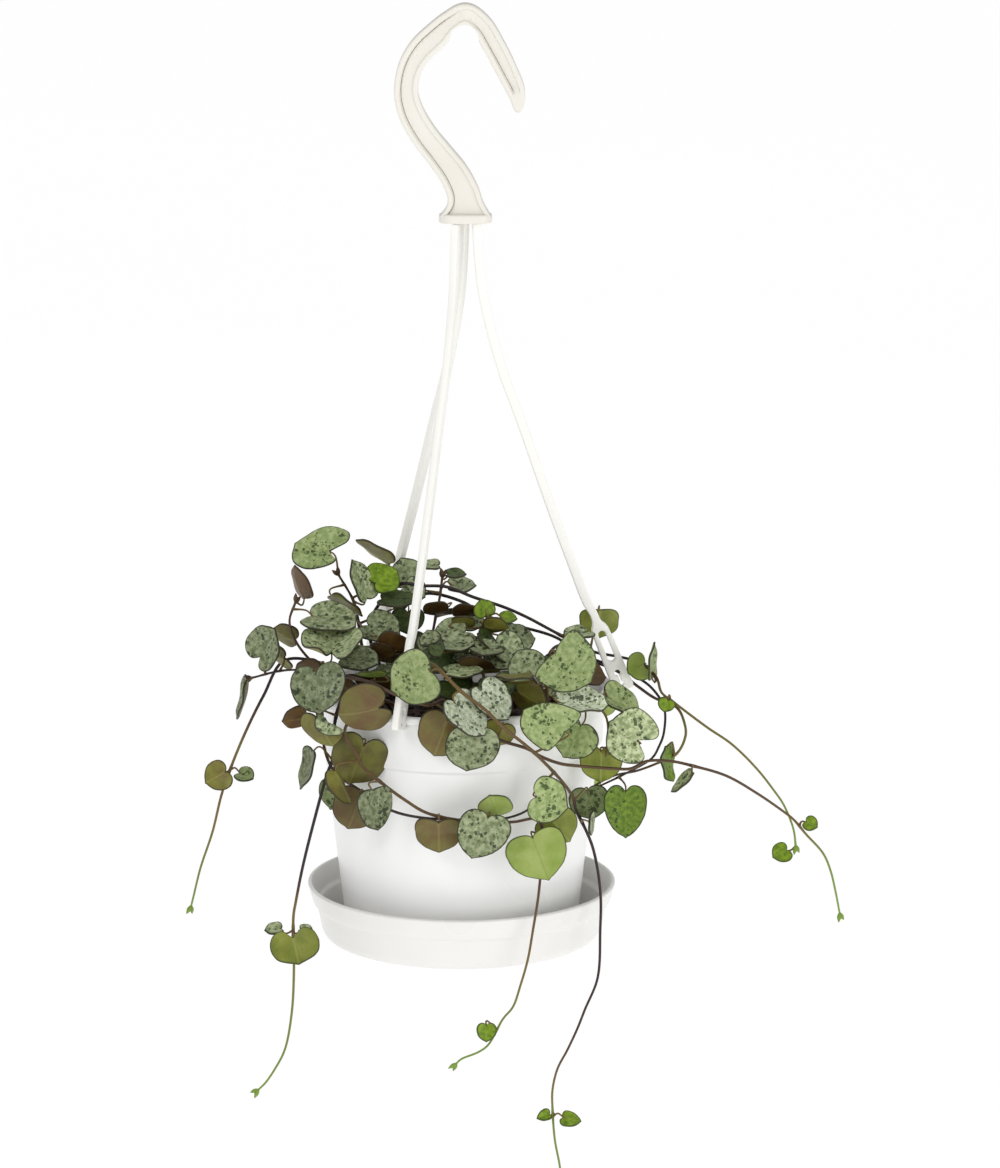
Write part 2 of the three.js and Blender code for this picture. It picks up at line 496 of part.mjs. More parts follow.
// Smaller and inner leaves are one solid with their stem.
const SPROUTS = [
  ['vine_left_clump', [-65.5, 222, 2], 17, 118, 18, 165],
  ['vine_left_clump', [-71.5, 241.5, 7], 13, 150, 30, 120],
  ['vine_left_clump', [-41.3, 252, 25], 18, 0, 70, 70],
  ['vine_left_clump', [-37, 258, 38], 16, 180, 76, 80],
  ['vine_left_runner', [-74, 250, 22], 13, 130, 30, 90],
  ['vine_swag_loop', [-68, 275.6, 38], 12, 200, 30, 80],
  ['vine_swag_loop', [-51.7, 307, 38], 15, -25, 0, -20],
  ['vine_front_swag', [11.6, 312, 65], 14, 180, 20, 160],
  ['vine_front_swag', [37.5, 321, 57], 18, 180, 0, -40],
  ['vine_long_trail', [49.5, 310, 40], 16.5, 0, 0, 10],
  ['vine_right_upper', [44.3, 241.5, 8], 14, 0, 80, -60],
  ['vine_right_upper', [-27.2, 228.2, -4], 17, 0, 78, 80],
  ['vine_right_upper', [-34.2, 209.5, -20], 18, 129, 48, 150],
  ['vine_right_loop', [-23.5, 215.7, -28], 14, 0, 15, 200],
  ['vine_left_crown', [-31.8, 218.6, -10], 15.5, 10, 44, 120],
  ['vine_left_crown', [-41.2, 221.4, -2], 18.5, 66, 24, 180],
  ['vine_left_crown', [-33, 239.4, 6], 19, 0, 60, 66],
  ['vine_left_crown', [-29.5, 246.5, 15], 17, 180, 44, -60],
  ['vine_back_crown', [-14, 213.5, -20], 10, 0, 78, -90],
  ['vine_back_crown', [-3.5, 217, -20], 10, 0, 78, 90],
  ['vine_back_crown', [-20, 224, -14], 12, 0, 30, 60],
  ['vine_back_crown', [-1.2, 222, -25], 14, 0, 74, 90],
  ['vine_back_crown', [-10.9, 231.9, -6], 15, 180, 58, 60],
  ['vine_back_crown', [-13.9, 245.5, 5], 11, 0, 20, 10],
  ['vine_middle_crown', [12, 238.5, 10], 13, 180, 50, -80],
  ['vine_middle_crown', [7.5, 230.5, 2], 9, 0, 20, 200],
  ['vine_middle_crown', [17, 235, 2], 9, 0, 70, 84],
  ['vine_middle_crown', [0.5, 232.7, -2.6], 15, 180, 60, 60],
  ['vine_middle_crown', [-1.2, 237, 8], 14, 180, 60, -60],
  ['vine_middle_crown', [-5, 243, 15], 19, 0, 55, -60],
  ['vine_middle_crown', [16, 249.2, 18], 18, 10, 35, 40],
  ['vine_middle_crown', [9, 248, 26], 16, 15, 78, 60],
  ['vine_middle_crown', [-1.7, 256.9, 33], 16, 0, 84, 100],
  ['vine_right_crown', [24, 253.5, 33], 16, 0, 15, -150],
  ['vine_right_crown', [21, 261, 45], 16, 180, 76, 90],
  ['vine_right_upper', [73.3, 254.5, 1], 14.5, 76, 0, 176],
  ['vine_right_upper', [68.1, 254.9, -3], 12, 25, 25, -70],
  ['vine_right_upper', [79.7, 270, 14], 7, 0, 10, -20],
  ['vine_right_upper', [126, 331, 28], 9, 0, 40, -60],
  ['vine_right_inner_loop', [79.9, 291.2, 30], 14.5, 68, 0, 4],
  ['vine_right_lower', [88, 301, 43], 13, -82, 44, 0],
  ['vine_right_lower', [138, 319, 36], 7, 0, 40, 60],
  ['vine_far_left', [-99, 299.5, 11], 13, 0, 25, -60],
  ['vine_far_left', [-87.6, 299, 10], 9, 0, 60, 60],
  ['vine_front_swag', [-50, 301.7, 64], 15, -110, -28, 0],
  ['vine_left_trail', [-77, 363, 43], 9, 0, 72, -80],
  ['vine_left_trail', [-64, 363, 43], 7, 0, 72, 80],
  ['vine_front_swag', [8.3, 405.8, 63], 9, 0, 20, 0],
  ['vine_long_trail', [50, 318.6, 47], 10, 75, 0, 60],
  ['vine_long_trail', [32, 441, 42], 6, 0, 40, -70],
  ['vine_long_trail', [41.5, 442.5, 42], 7.5, 0, 50, 70],
  ['vine_left_crown', [-27, 256.5, -4], 17, 20, 60, 40],
  ['vine_left_crown', [-22.6, 236.2, -8], 14, 0, 40, 0],
  ['vine_swag_loop', [-37, 261.4, 20], 15, 170, 40, 20],
  ['vine_middle_crown', [-4, 249.6, 6], 18, 0, 65, -70],
  ['vine_middle_crown', [5.9, 255.7, 8], 16, 180, 60, 60],
  ['vine_middle_crown', [-3.7, 263.8, 24], 16, 0, 60, 30],
  ['vine_middle_crown', [-2.8, 244.7, 22], 17, 0, 72, 85],
  ['vine_right_crown', [13, 263.8, 34], 16, 0, 45, 20],
  ['vine_right_crown', [25.7, 267.1, 44], 18, 150, 25, -60],
  ['vine_right_crown', [39.6, 263.8, 22], 16, 10, 55, 60],
  ['vine_right_crown', [50.5, 257.5, 2], 14, 40, 50, 60],
  ['vine_left_clump', [-62, 255.8, 28], 14, 180, 50, 70],
  ['vine_left_trail', [-50.5, 263.8, 40], 13, 170, 20, 10],
  ['vine_right_lower', [13, 282, 60.5], 13, 180, 10, 20],
  ['vine_back_crown', [-17.9, 247.5, -14], 16, 20, 50, -60],
  ['vine_back_crown', [1.9, 236.2, -22], 15, 0, 60, 70],
  ['vine_middle_crown', [21.7, 243.5, -4], 15, 10, 50, 90],
  ['vine_right_crown', [32.8, 256.5, 10], 16, 0, 60, -30],
  ['vine_middle_crown', [-11.2, 252, 20], 18, 0, 62, -80],
  ['vine_middle_crown', [4.3, 254.5, 26], 18, 180, 62, -80],
  ['vine_middle_crown', [9.8, 246.7, 16], 19, 82, 44, 0],
  ['vine_right_crown', [20.1, 259.8, 50], 16, 180, 84, 85],
  ['vine_left_crown', [-32.2, 250.4, 12], 16, 170, 50, 60],
  ['vine_middle_crown', [-13.9, 242.7, 30], 9, -20, 40, -150],
  ['vine_middle_crown', [-11.6, 247.5, 32], 8, 30, 20, 20],
  ['vine_back_left', [-49, 276, -72], 17, 190, 10, 30],
  ['vine_back_left', [-35, 298, -73], 17, 180, 10, -20],
  ['vine_back_left', [-49, 300, -71], 15, 170, 0, 20],
  ['vine_back_left', [-35, 325, -71], 14, 180, 10, 10],
  ['vine_back_middle', [16, 274, -74], 18, 190, 10, -30],
  ['vine_back_middle', [-3, 300, -73], 16, 175, 15, 20],
  ['vine_back_middle', [13, 303, -73], 15, 190, 5, -10],
  ['vine_back_middle', [3, 328, -71], 13, 180, 10, 20],
  ['vine_back_right', [53, 270, -63], 15, 160, 20, 20],
  ['vine_back_right', [35, 300, -63], 16, 180, 10, 10],
  ['vine_back_right', [49, 303, -62], 13, 190, 0, -30],
  ['vine_back_right', [38, 322, -61], 12, 180, 15, 0],
];

// A heart as wide as long, its notch at the origin and its tip towards +Y.
function heart(width) {
  const half = width / 2;
  const shape = new THREE.Shape();
  shape.moveTo(0, 0);
  shape.bezierCurveTo(0.12 * half, -0.26 * half, 0.32 * half, -0.36 * half, 0.56 * half, -0.32 * half);
  shape.bezierCurveTo(0.88 * half, -0.24 * half, 1.04 * half, 0.12 * half, 0.98 * half, 0.5 * half);
  shape.bezierCurveTo(0.92 * half, 0.98 * half, 0.42 * half, 1.3 * half, 0, 1.5 * half);
  shape.bezierCurveTo(-0.42 * half, 1.3 * half, -0.92 * half, 0.98 * half, -0.98 * half, 0.5 * half);
  shape.bezierCurveTo(-1.04 * half, 0.12 * half, -0.88 * half, -0.24 * half, -0.56 * half, -0.32 * half);
  shape.bezierCurveTo(-0.32 * half, -0.36 * half, -0.12 * half, -0.26 * half, 0, 0);
  return shape;
}
const HEART_MIDDLE = 0.29; // how far the blade's middle lies from its notch, as a share of its width

// The blade's own axes: across its lobes, towards its tip and out of its upper face, and its notch.
function bladeFrame(middle, width, facing, lift, turn) {
  const [side, up, spin] = [facing, lift, turn].map(THREE.MathUtils.degToRad);
  const [sin, cos] = [Math.sin(up), Math.cos(up)];
  const face = new THREE.Vector3(Math.sin(side) * cos, -Math.cos(side) * cos, sin);
  const downhill = new THREE.Vector3(Math.sin(side) * sin, -Math.cos(side) * sin, -cos);
  const level = new THREE.Vector3(Math.cos(side), Math.sin(side), 0);
  const tip = downhill.multiplyScalar(Math.cos(spin)).addScaledVector(level, Math.sin(spin));
  const lobes = tip.clone().cross(face);
  const notch = sight(middle).addScaledVector(tip, -HEART_MIDDLE * width);
  return { face, tip, lobes, notch };
}

function blade(frame, width) {
  const flat = { depth: LEAF_THICKNESS, bevelEnabled: false, curveSegments: 2 };
  const geometry = new THREE.ExtrudeGeometry(heart(width), flat).translate(0, 0, -LEAF_THICKNESS / 2);
  const place = new THREE.Matrix4().makeBasis(frame.lobes, frame.tip, frame.face).setPosition(frame.notch);
  return toSolid(geometry.applyMatrix4(place));
}

function vinePoints({ root, nodes }) {
  const [x, y] = root;
  const foot = SOIL_Z + 0.6;
  return [new THREE.Vector3(x, y, foot), new THREE.Vector3(x, y, foot + 4), ...nodes.map(sight)];
}

// A leaf stalk springs from the nearest point of its stem and meets the blade just inside its notch, ending
// this far from the blade's middle plane on the side that it comes from.
function petiole(vine, frame, reach) {
  const near = (p) => p.distanceTo(frame.notch);
  const { path, steps } = smoothLine(vinePoints(vine));
  const above = path.getSpacedPoints(steps).slice(2);
  const node = above.reduce((best, p) => (near(p) < near(best) ? p : best));
  const side = Math.sign(node.clone().sub(frame.notch).dot(frame.face)) || 1;
  const end = frame.notch.clone().addScaledVector(frame.tip, 0.8).addScaledVector(frame.face, side * reach);
  const before = end.clone().addScaledVector(frame.tip, -2.2).addScaledVector(frame.face, side * 2.6);
  return toSolid(rod([node, before, end], PETIOLE_RADIUS));
}

function stem(name) {
  const vine = VINES[name];
  let solid = toSolid(rod(vinePoints(vine), STEM_RADIUS));
  for (const [, of, middle, width, facing, lift, turn] of LEAVES) {
    if (of !== name) continue;
    const frame = bladeFrame(middle, width, facing, lift, turn);
    solid = solid.add(petiole(vine, frame, LEAF_THICKNESS / 2 + PETIOLE_RADIUS + GAP));
  }
  for (const [of, middle, width, facing, lift, turn] of SPROUTS) {
    if (of !== name) continue;
    const frame = bladeFrame(middle, width, facing, lift, turn);
    solid = solid.add(petiole(vine, frame, 0)).add(blade(frame, width));
  }
  return solid;
}

// ---------------------------------------------------------------- assembly

const group = new THREE.Group();

function addPart(name, solid, material) {
  const mesh = new THREE.Mesh(toGeometry(solid), material);
  mesh.name = name;
  group.add(mesh);
}

addPart('hanger_hook', hook(), paint(HANGER_PLASTIC, 0.35));
for (const each of ARMS) addPart(each.name, arm(each), paint(HANGER_PLASTIC, 0.35));
addPart('pot', pot(), paint(POT_PLASTIC, 0.3));
addPart('saucer', saucer(), paint(POT_PLASTIC, 0.3));
addPart('potting_soil', soil(), paint(SOIL, 0.95));
for (const name of Object.keys(VINES)) addPart(name, stem(name), paint(STEM_BARK, 0.6));
for (const [name, , middle, width, facing, lift, turn, finish] of LEAVES) {
  const frame = bladeFrame(middle, width, facing, lift, turn);
  addPart(name, blade(frame, width), paint(LEAF_COLOURS[finish], 0.5));
}

export default group;
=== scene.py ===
# A string of hearts in its hanging pot: the moulded hanger, the pot and its saucer, the damp peat mix, and
# the living stems and leaves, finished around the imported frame.
# Lengths are written in millimetres and become metres where a mesh is made. +Z is up, -Y is the front, and
# the origin is the hook's seat.

import math
import random

import bpy
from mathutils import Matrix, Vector, noise


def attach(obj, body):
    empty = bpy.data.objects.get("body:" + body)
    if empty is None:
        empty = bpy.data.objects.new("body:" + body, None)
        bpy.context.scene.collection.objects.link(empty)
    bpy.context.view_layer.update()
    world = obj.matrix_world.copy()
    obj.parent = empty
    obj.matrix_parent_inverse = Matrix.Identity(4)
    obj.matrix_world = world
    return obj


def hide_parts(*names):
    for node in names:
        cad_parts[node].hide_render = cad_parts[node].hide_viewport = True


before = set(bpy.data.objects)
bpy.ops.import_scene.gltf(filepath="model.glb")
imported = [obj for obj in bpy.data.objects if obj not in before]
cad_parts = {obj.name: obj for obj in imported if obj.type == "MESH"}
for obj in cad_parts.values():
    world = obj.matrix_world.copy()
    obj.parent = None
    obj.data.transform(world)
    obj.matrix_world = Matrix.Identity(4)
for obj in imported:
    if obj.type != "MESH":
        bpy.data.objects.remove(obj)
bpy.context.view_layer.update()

MM = 0.001
GAP = 0.35  # between two pieces that touch

# The camera, and the glow of the floor and the air around the object.
EYE = Vector((13.8, -1900, 190))
LOOK_DOWN = 12.2  # degrees below level
LENS = 151.67
FLOOR_REACH, FLOOR_Z = 40000, -1250
PAPER_GLOW, AIR_GLOW = 0.46, 0.56

# The hook: a web sunk between two beads, with a fine groove along the foot of the crisp one.
HOOK_DEPTH, HOOK_BEAD, HOOK_RECESS, HOOK_GROOVE = 7.5, 2.1, 1.7, 0.7
GROOVE_MIDDLE, GROOVE_WIDTH = 0.22, 0.45
BEAD_ROUND, WEB_ROUND, TIP_ROUND = 0.8, 0.35, 2.2
HOOK_CROWN = 45  # how far along from the tip the crisp line changes from the inner bead to the outer
CROWN_FADE = 9  # over what length it changes
WEB_START, WEB_FADE = 8, 2.5  # how far along from the tip the web starts to sink, and over what length
SEAT_RADIUS = 5.6

# The plate under the hook, and the arms.
FLANGE_WIDTH, FLANGE_DEPTH, FLANGE_TOP, FLANGE_BOTTOM = 20.8, 11, -73.4, -77
FLANGE_X, FLANGE_ROUND = 0.4, 0.7
ARM_THICKNESS, ARM_HALF_WIDTH = 2.8, 1.75
HOOK_STEP, ARM_STEP = 0.7, 1.6
CRISP_ANGLE = 38  # degrees between two faces that make a crisp edge of the hanger

# The pot, the saucer and the soil, all about the axis at POT_X.
POT_X = -1.6
RIM_Z = -261.5
LIP_RADIUS, LIP_HEIGHT = 60.2, 3
BAND_RADIUS, BAND_HEIGHT = 57.2, 22
POT_BASE_Z, POT_BASE_RADIUS = -361.5, 46
POT_WALL = 1.6
POT_FLOOR = 2.6  # height of the inside floor over the foot
DRAIN_HOLES, DRAIN_RADIUS, DRAIN_CIRCLE = 6, 3.5, 30
SAUCER_RIM_Z, SAUCER_RADIUS = -341.4, 61.5
SAUCER_BASE_Z, SAUCER_BASE_RADIUS = -363.6, 52.5
SAUCER_FLOOR = 1.7
SOIL_Z = -274
SOIL_RINGS = 34
CRUMBS, CRUMB_REACH, CRUMB_SIDES = 260, 52, 7

# The stems and the leaf stalks.
STEM_RADIUS, PETIOLE_RADIUS = 0.7, 0.48
STEM_TAPER, NODE_SWELL, NODE_LENGTH = 0.42, 0.3, 1.6
ROOT_DEPTH, ROOT_RISE = 1.4, 4.6  # how far a stem starts under the soil, and rises straight above it
STEM_STEP, STEM_SIDES = 1.6, 8
END_SHARE = 0.6  # how wide a stem's rounded end is, as a share of its full width
STALK_AGE = 0.5
STALK_STEP, STALK_BACK, STALK_LIFT = 0.9, 2.4, 1.9  # how a stalk leaves the blade, back and off its face
BUD_RADII = [0.45, 0.75, 0.9, 0.8, 0.5, 0.15]

# The leaf blades.
LEAF_THICKNESS, MARGIN_ROUND = 0.9, 0.55
LEAF_MIDDLE = 0.29  # how far a blade's middle lies from its notch, as a share of its width
RIB_WIDTH, RIB_BELOW, RIB_ABOVE = 0.5, 0.28, 0.12
FAR_INSIDE = 9.0  # a distance from the margin past which nothing changes
RINGS_ACROSS = (0.2, 0.38, 0.54, 0.68, 0.8, 0.89, 0.945, 0.975, 0.992)  # from a blade's middle to its margin


# ---------------------------------------------------------------- materials

# A map range takes its value, the two ends it comes from (1, 2) and the two it goes to (3, 4). A mix takes
# the share of its upper colour (0), then its lower and its upper colour (6, 7).


def colour(value):
    """An sRGB hex colour as linear light."""
    channels = [int(value[i:i + 2], 16) / 255 for i in (1, 3, 5)]
    linear = [c / 12.92 if c <= 0.04045 else ((c + 0.055) / 1.055) ** 2.4 for c in channels]
    return (*linear, 1)


def add(tree, kind, inputs, output=0, **settings):
    """Adds a node with its settings and links, and gives one of its outputs. Each input takes a value or
    another node's output, and a colour ramp takes its stops."""
    node = tree.nodes.new(kind)
    for position, tint in settings.pop("stops", ()):
        ramp = node.color_ramp.elements
        mark = ramp[0] if position == 0 else ramp[-1] if position == 1 else ramp.new(position)
        mark.color = colour(tint)
    for name, value in settings.items():
        setattr(node, name, value)
    for key, value in inputs.items():
        if isinstance(value, bpy.types.NodeSocket):
            tree.links.new(value, node.inputs[key])
        else:
            node.inputs[key].default_value = value
    return node.outputs[output]


def new_material(name, roughness, ior=1.5, specular=0.5):
    """A bare material: its node tree and its shader."""
    material = bpy.data.materials.new(name)
    material.use_nodes = True
    tree = material.node_tree
    tree.nodes.clear()
    plain = {"Roughness": roughness, "IOR": ior, "Metallic": 0.0, "Specular IOR Level": specular}
    surface = add(tree, "ShaderNodeBsdfPrincipled", plain)
    tree.links.new(surface, tree.nodes.new("ShaderNodeOutputMaterial").inputs["Surface"])
    return material, tree, surface.node


def finish_surface(tree, shader, tint, height, strength, depth):
    """Gives a shader its colour and its fine relief; the depth is in metres."""
    bump = add(tree, "ShaderNodeBump", {"Strength": strength, "Distance": depth, "Height": height})
    tree.links.new(tint, shader.inputs["Base Color"])
    tree.links.new(bump, shader.inputs["Normal"])


def moulded_polypropylene(name, base, shade, roughness, texture_mm):
    """Injection-moulded polypropylene: an even soft gloss, with the faint unevenness of a thin moulded wall,
    45 mm across, and the fine peel of the mould's own surface."""
    material, tree, shader = new_material(name, roughness, ior=1.49)
    place = add(tree, "ShaderNodeTexCoord", {}, "Object")
    flow = add(tree, "ShaderNodeTexNoise", {"Vector": place, "Scale": 22.0, "Detail": 2.0})
    peel = add(tree, "ShaderNodeTexNoise", {"Vector": place, "Scale": 1000 / texture_mm, "Detail": 2.0})
    share = add(tree, "ShaderNodeMapRange", {0: flow, 1: 0.3, 2: 0.7})
    tint = add(tree, "ShaderNodeMix", {0: share, 6: colour(shade), 7: colour(base)}, 2, data_type="RGBA")
    glossy, dull = roughness - 0.05, roughness + 0.06
    gloss = add(tree, "ShaderNodeMapRange", {0: flow, 1: 0.25, 2: 0.75, 3: glossy, 4: dull})
    tree.links.new(gloss, shader.inputs["Roughness"])
    finish_surface(tree, shader, tint, peel, 0.12, 0.0001)
    return material


def damp_peat_mix():
    """Peat and bark fines: nearly black where the fine grain sinks into hollows, with brown crumbs 2 mm
    across, grain of 1 mm and damp patches of 9 mm."""
    material, tree, shader = new_material("damp_peat_mix", 0.9, ior=1.4)
    place = add(tree, "ShaderNodeTexCoord", {}, "Object")
    crumbs = add(tree, "ShaderNodeTexVoronoi", {"Vector": place, "Scale": 480.0}, "Distance")
    grain = add(tree, "ShaderNodeTexNoise", {"Vector": place, "Scale": 900.0, "Detail": 5.0})
    patches = add(tree, "ShaderNodeTexNoise", {"Vector": place, "Scale": 110.0, "Detail": 3.0})
    both = add(tree, "ShaderNodeMath", {0: grain, 1: patches}, operation="ADD")
    half = add(tree, "ShaderNodeMath", {0: both, 1: 0.5}, operation="MULTIPLY")
    share = add(tree, "ShaderNodeMapRange", {0: half, 1: 0.3, 2: 0.7})
    tints = [(0, "#120B08"), (0.42, "#21150F"), (0.58, "#35241A"), (1, "#5B4330")]
    tint = add(tree, "ShaderNodeValToRGB", {0: share}, stops=tints)
    height = add(tree, "ShaderNodeMath", {0: grain, 1: crumbs}, operation="SUBTRACT")
    finish_surface(tree, shader, tint, height, 0.7, 0.0006)
    return material


def wiry_stem():
    """The skin of a wiry living stem: nearly black purple where it is old, red-brown and tan by the nodes,
    olive and then green towards the growing tip, with a slight shine and fine lengthwise streaks."""
    material, tree, shader = new_material("wiry_stem", 0.5, ior=1.45)
    age = add(tree, "ShaderNodeAttribute", {}, "Fac", attribute_name="age")
    skin = add(tree, "ShaderNodeAttribute", {}, "Vector", attribute_name="blade")
    stretched = add(tree, "ShaderNodeVectorMath", {0: skin, 1: (2.5, 0.35, 1.0)}, operation="MULTIPLY")
    streaks = add(tree, "ShaderNodeTexNoise", {"Vector": stretched, "Scale": 1.0, "Detail": 3.0})
    uneven = add(tree, "ShaderNodeMapRange", {0: streaks, 1: 0.3, 2: 0.7, 3: -0.03, 4: 0.03})
    shifted = add(tree, "ShaderNodeMath", {0: age, 1: uneven}, operation="ADD")
    tints = [(0, "#181012"), (0.2, "#2C1B18"), (0.4, "#4A3420"), (0.55, "#6B5428"), (0.68, "#706A2D"),
             (0.82, "#6E8230"), (1, "#789934")]
    tint = add(tree, "ShaderNodeValToRGB", {0: shifted}, stops=tints)
    finish_surface(tree, shader, tint, streaks, 0.1, 0.0001)
    return material


def leaf_lines(tree, blade):
    """Where the midrib runs, and where the side veins fan out from the stalk, as two shares."""
    sideways, lengthwise, _ = add(tree, "ShaderNodeSeparateXYZ", {0: blade}).node.outputs
    across = add(tree, "ShaderNodeMath", {0: sideways}, operation="ABSOLUTE")
    midrib = add(tree, "ShaderNodeMapRange", {0: across, 1: 0.12, 2: 0.6, 3: 1.0, 4: 0.0})
    stalk = add(tree, "ShaderNodeMath", {0: lengthwise, 1: 3.0}, operation="ADD")
    fan = add(tree, "ShaderNodeMath", {0: across, 1: stalk}, operation="ARCTAN2")
    turns = add(tree, "ShaderNodeMath", {0: fan, 1: 9.0}, operation="MULTIPLY")
    wave = add(tree, "ShaderNodeMath", {0: turns}, operation="SINE")
    return midrib, add(tree, "ShaderNodeMapRange", {0: wave, 1: 0.6, 2: 1.0})


def laid_over(tree, tint, *layers):
    """Lays colours over a tint, each as far as its own share and strength say."""
    for share, strength, above in layers:
        thinned = add(tree, "ShaderNodeMath", {0: share, 1: strength}, operation="MULTIPLY")
        tint = add(tree, "ShaderNodeMix", {0: thinned, 6: tint, 7: colour(above)}, 2, data_type="RGBA")
    return tint


def painted_light_and_edged(tree, tint, near, far, strength, margin):
    """Makes each leaf lighter or darker: partly the leaf's own tone, and partly painted shade on leaves deep
    in the crown and painted light on leaves that others shade. Gives it a thin dark margin that fades out
    from near to far, in millimetres from its edge."""
    tone_and_painted_light = add(tree, "ShaderNodeAttribute", {}, "Fac", attribute_name="tone_and_painted_light")
    value = add(tree, "ShaderNodeMapRange", {0: tone_and_painted_light, 1: -1.0, 2: 1.0, 3: 0.5, 4: 1.5})
    painted_light_toned = add(tree, "ShaderNodeHueSaturation", {"Value": value, "Color": tint})
    inset = add(tree, "ShaderNodeAttribute", {}, "Fac", attribute_name="margin")
    share = add(tree, "ShaderNodeMapRange", {0: inset, 1: near, 2: far, 3: strength, 4: 0.0})
    return add(tree, "ShaderNodeMix", {0: share, 6: painted_light_toned, 7: colour(margin)}, 2, data_type="RGBA")


def waxy_upper_face(name, pale, shade, rib, spot, spread, margin="#2A2A18"):
    """The upper face of a living leaf: a pale waxy bloom, marbled where the bloom thins, with dark green
    spots 0.2 to 2 mm across gathered in loose clusters and a thin dark margin. Its patterns lie on the flat
    blade in millimetres, so a scale of 0.5 is one every 2 mm."""
    material, tree, shader = new_material(name, 0.5, ior=1.45, specular=0.35)
    blade = add(tree, "ShaderNodeAttribute", {}, "Vector", attribute_name="blade")
    stir = add(tree, "ShaderNodeTexNoise", {"Vector": blade, "Scale": 0.8, "Detail": 2.0}, 1)
    stirred = {0: stir, 1: (1.5, 1.5, 0.0), 2: blade}
    shaken = add(tree, "ShaderNodeVectorMath", stirred, operation="MULTIPLY_ADD")
    clusters = add(tree, "ShaderNodeTexNoise", {"Vector": blade, "Scale": 0.2, "Detail": 1.5})
    marks = []
    for cells_per_mm, largest in ((0.5, 0.52), (1, 0.37)):
        cells = add(tree, "ShaderNodeTexVoronoi", {"Vector": shaken, "Scale": cells_per_mm}, "Distance")
        size = add(tree, "ShaderNodeMapRange", {0: clusters, 1: 0.56 - spread, 2: 0.68, 3: 0.1, 4: largest})
        inside = add(tree, "ShaderNodeMath", {0: size, 1: cells}, operation="SUBTRACT")
        marks.append(add(tree, "ShaderNodeMapRange", {0: inside, 1: -0.03, 2: 0.08}))
    spotted = add(tree, "ShaderNodeMath", dict(enumerate(marks)), operation="MAXIMUM")
    bloom = add(tree, "ShaderNodeTexNoise", {"Vector": blade, "Scale": 0.55, "Detail": 4.0})
    share = add(tree, "ShaderNodeMapRange", {0: bloom, 1: 0.4, 2: 0.62})
    tint = add(tree, "ShaderNodeMix", {0: share, 6: colour(shade), 7: colour(pale)}, 2, data_type="RGBA")
    midrib, veins = leaf_lines(tree, blade)
    tint = laid_over(tree, tint, (midrib, 0.3, rib), (veins, 0.12, rib), (spotted, 0.86, spot))
    tint = painted_light_and_edged(tree, tint, 0.3, 0.62, 0.95, margin)
    sunk = add(tree, "ShaderNodeMath", {0: veins, 1: 0.6}, operation="MULTIPLY")
    relief = add(tree, "ShaderNodeMath", {0: bloom, 1: sunk}, operation="SUBTRACT")
    finish_surface(tree, shader, tint, relief, 0.25, 0.0003)
    return material


def smooth_under_face(name, base, shade, rib, margin="#33291A"):
    """The under face of a living leaf: smoother and a little glossier than the upper one, clouded with
    purple-brown where the light reaches it, with a lighter raised midrib."""
    material, tree, shader = new_material(name, 0.42, ior=1.45, specular=0.35)
    blade = add(tree, "ShaderNodeAttribute", {}, "Vector", attribute_name="blade")
    clouds = add(tree, "ShaderNodeTexNoise", {"Vector": blade, "Scale": 0.13, "Detail": 4.0})
    grain = add(tree, "ShaderNodeTexNoise", {"Vector": blade, "Scale": 2.2, "Detail": 3.0})
    clouded = add(tree, "ShaderNodeMapRange", {0: clouds, 1: 0.35, 2: 0.66})
    tint = add(tree, "ShaderNodeMix", {0: clouded, 6: colour(base), 7: colour(shade)}, 2, data_type="RGBA")
    flecks = add(tree, "ShaderNodeMapRange", {0: grain, 1: 0.4, 2: 0.75, 3: 0.0, 4: 0.18})
    tint = add(tree, "ShaderNodeMix", {0: flecks, 6: tint, 7: colour(rib)}, 2, data_type="RGBA")
    midrib, veins = leaf_lines(tree, blade)
    tint = laid_over(tree, tint, (midrib, 0.4, rib), (veins, 0.07, rib))
    tint = painted_light_and_edged(tree, tint, 0.26, 0.56, 0.92, margin)
    raised = add(tree, "ShaderNodeMath", {0: veins, 1: 0.8}, operation="MULTIPLY")
    relief = add(tree, "ShaderNodeMath", {0: grain, 1: raised}, operation="ADD")
    finish_surface(tree, shader, tint, relief, 0.2, 0.00025)
    return material


HANGER = moulded_polypropylene("moulded_polypropylene_cream", "#E5E2DA", "#DFDBD1", 0.36, 0.7)
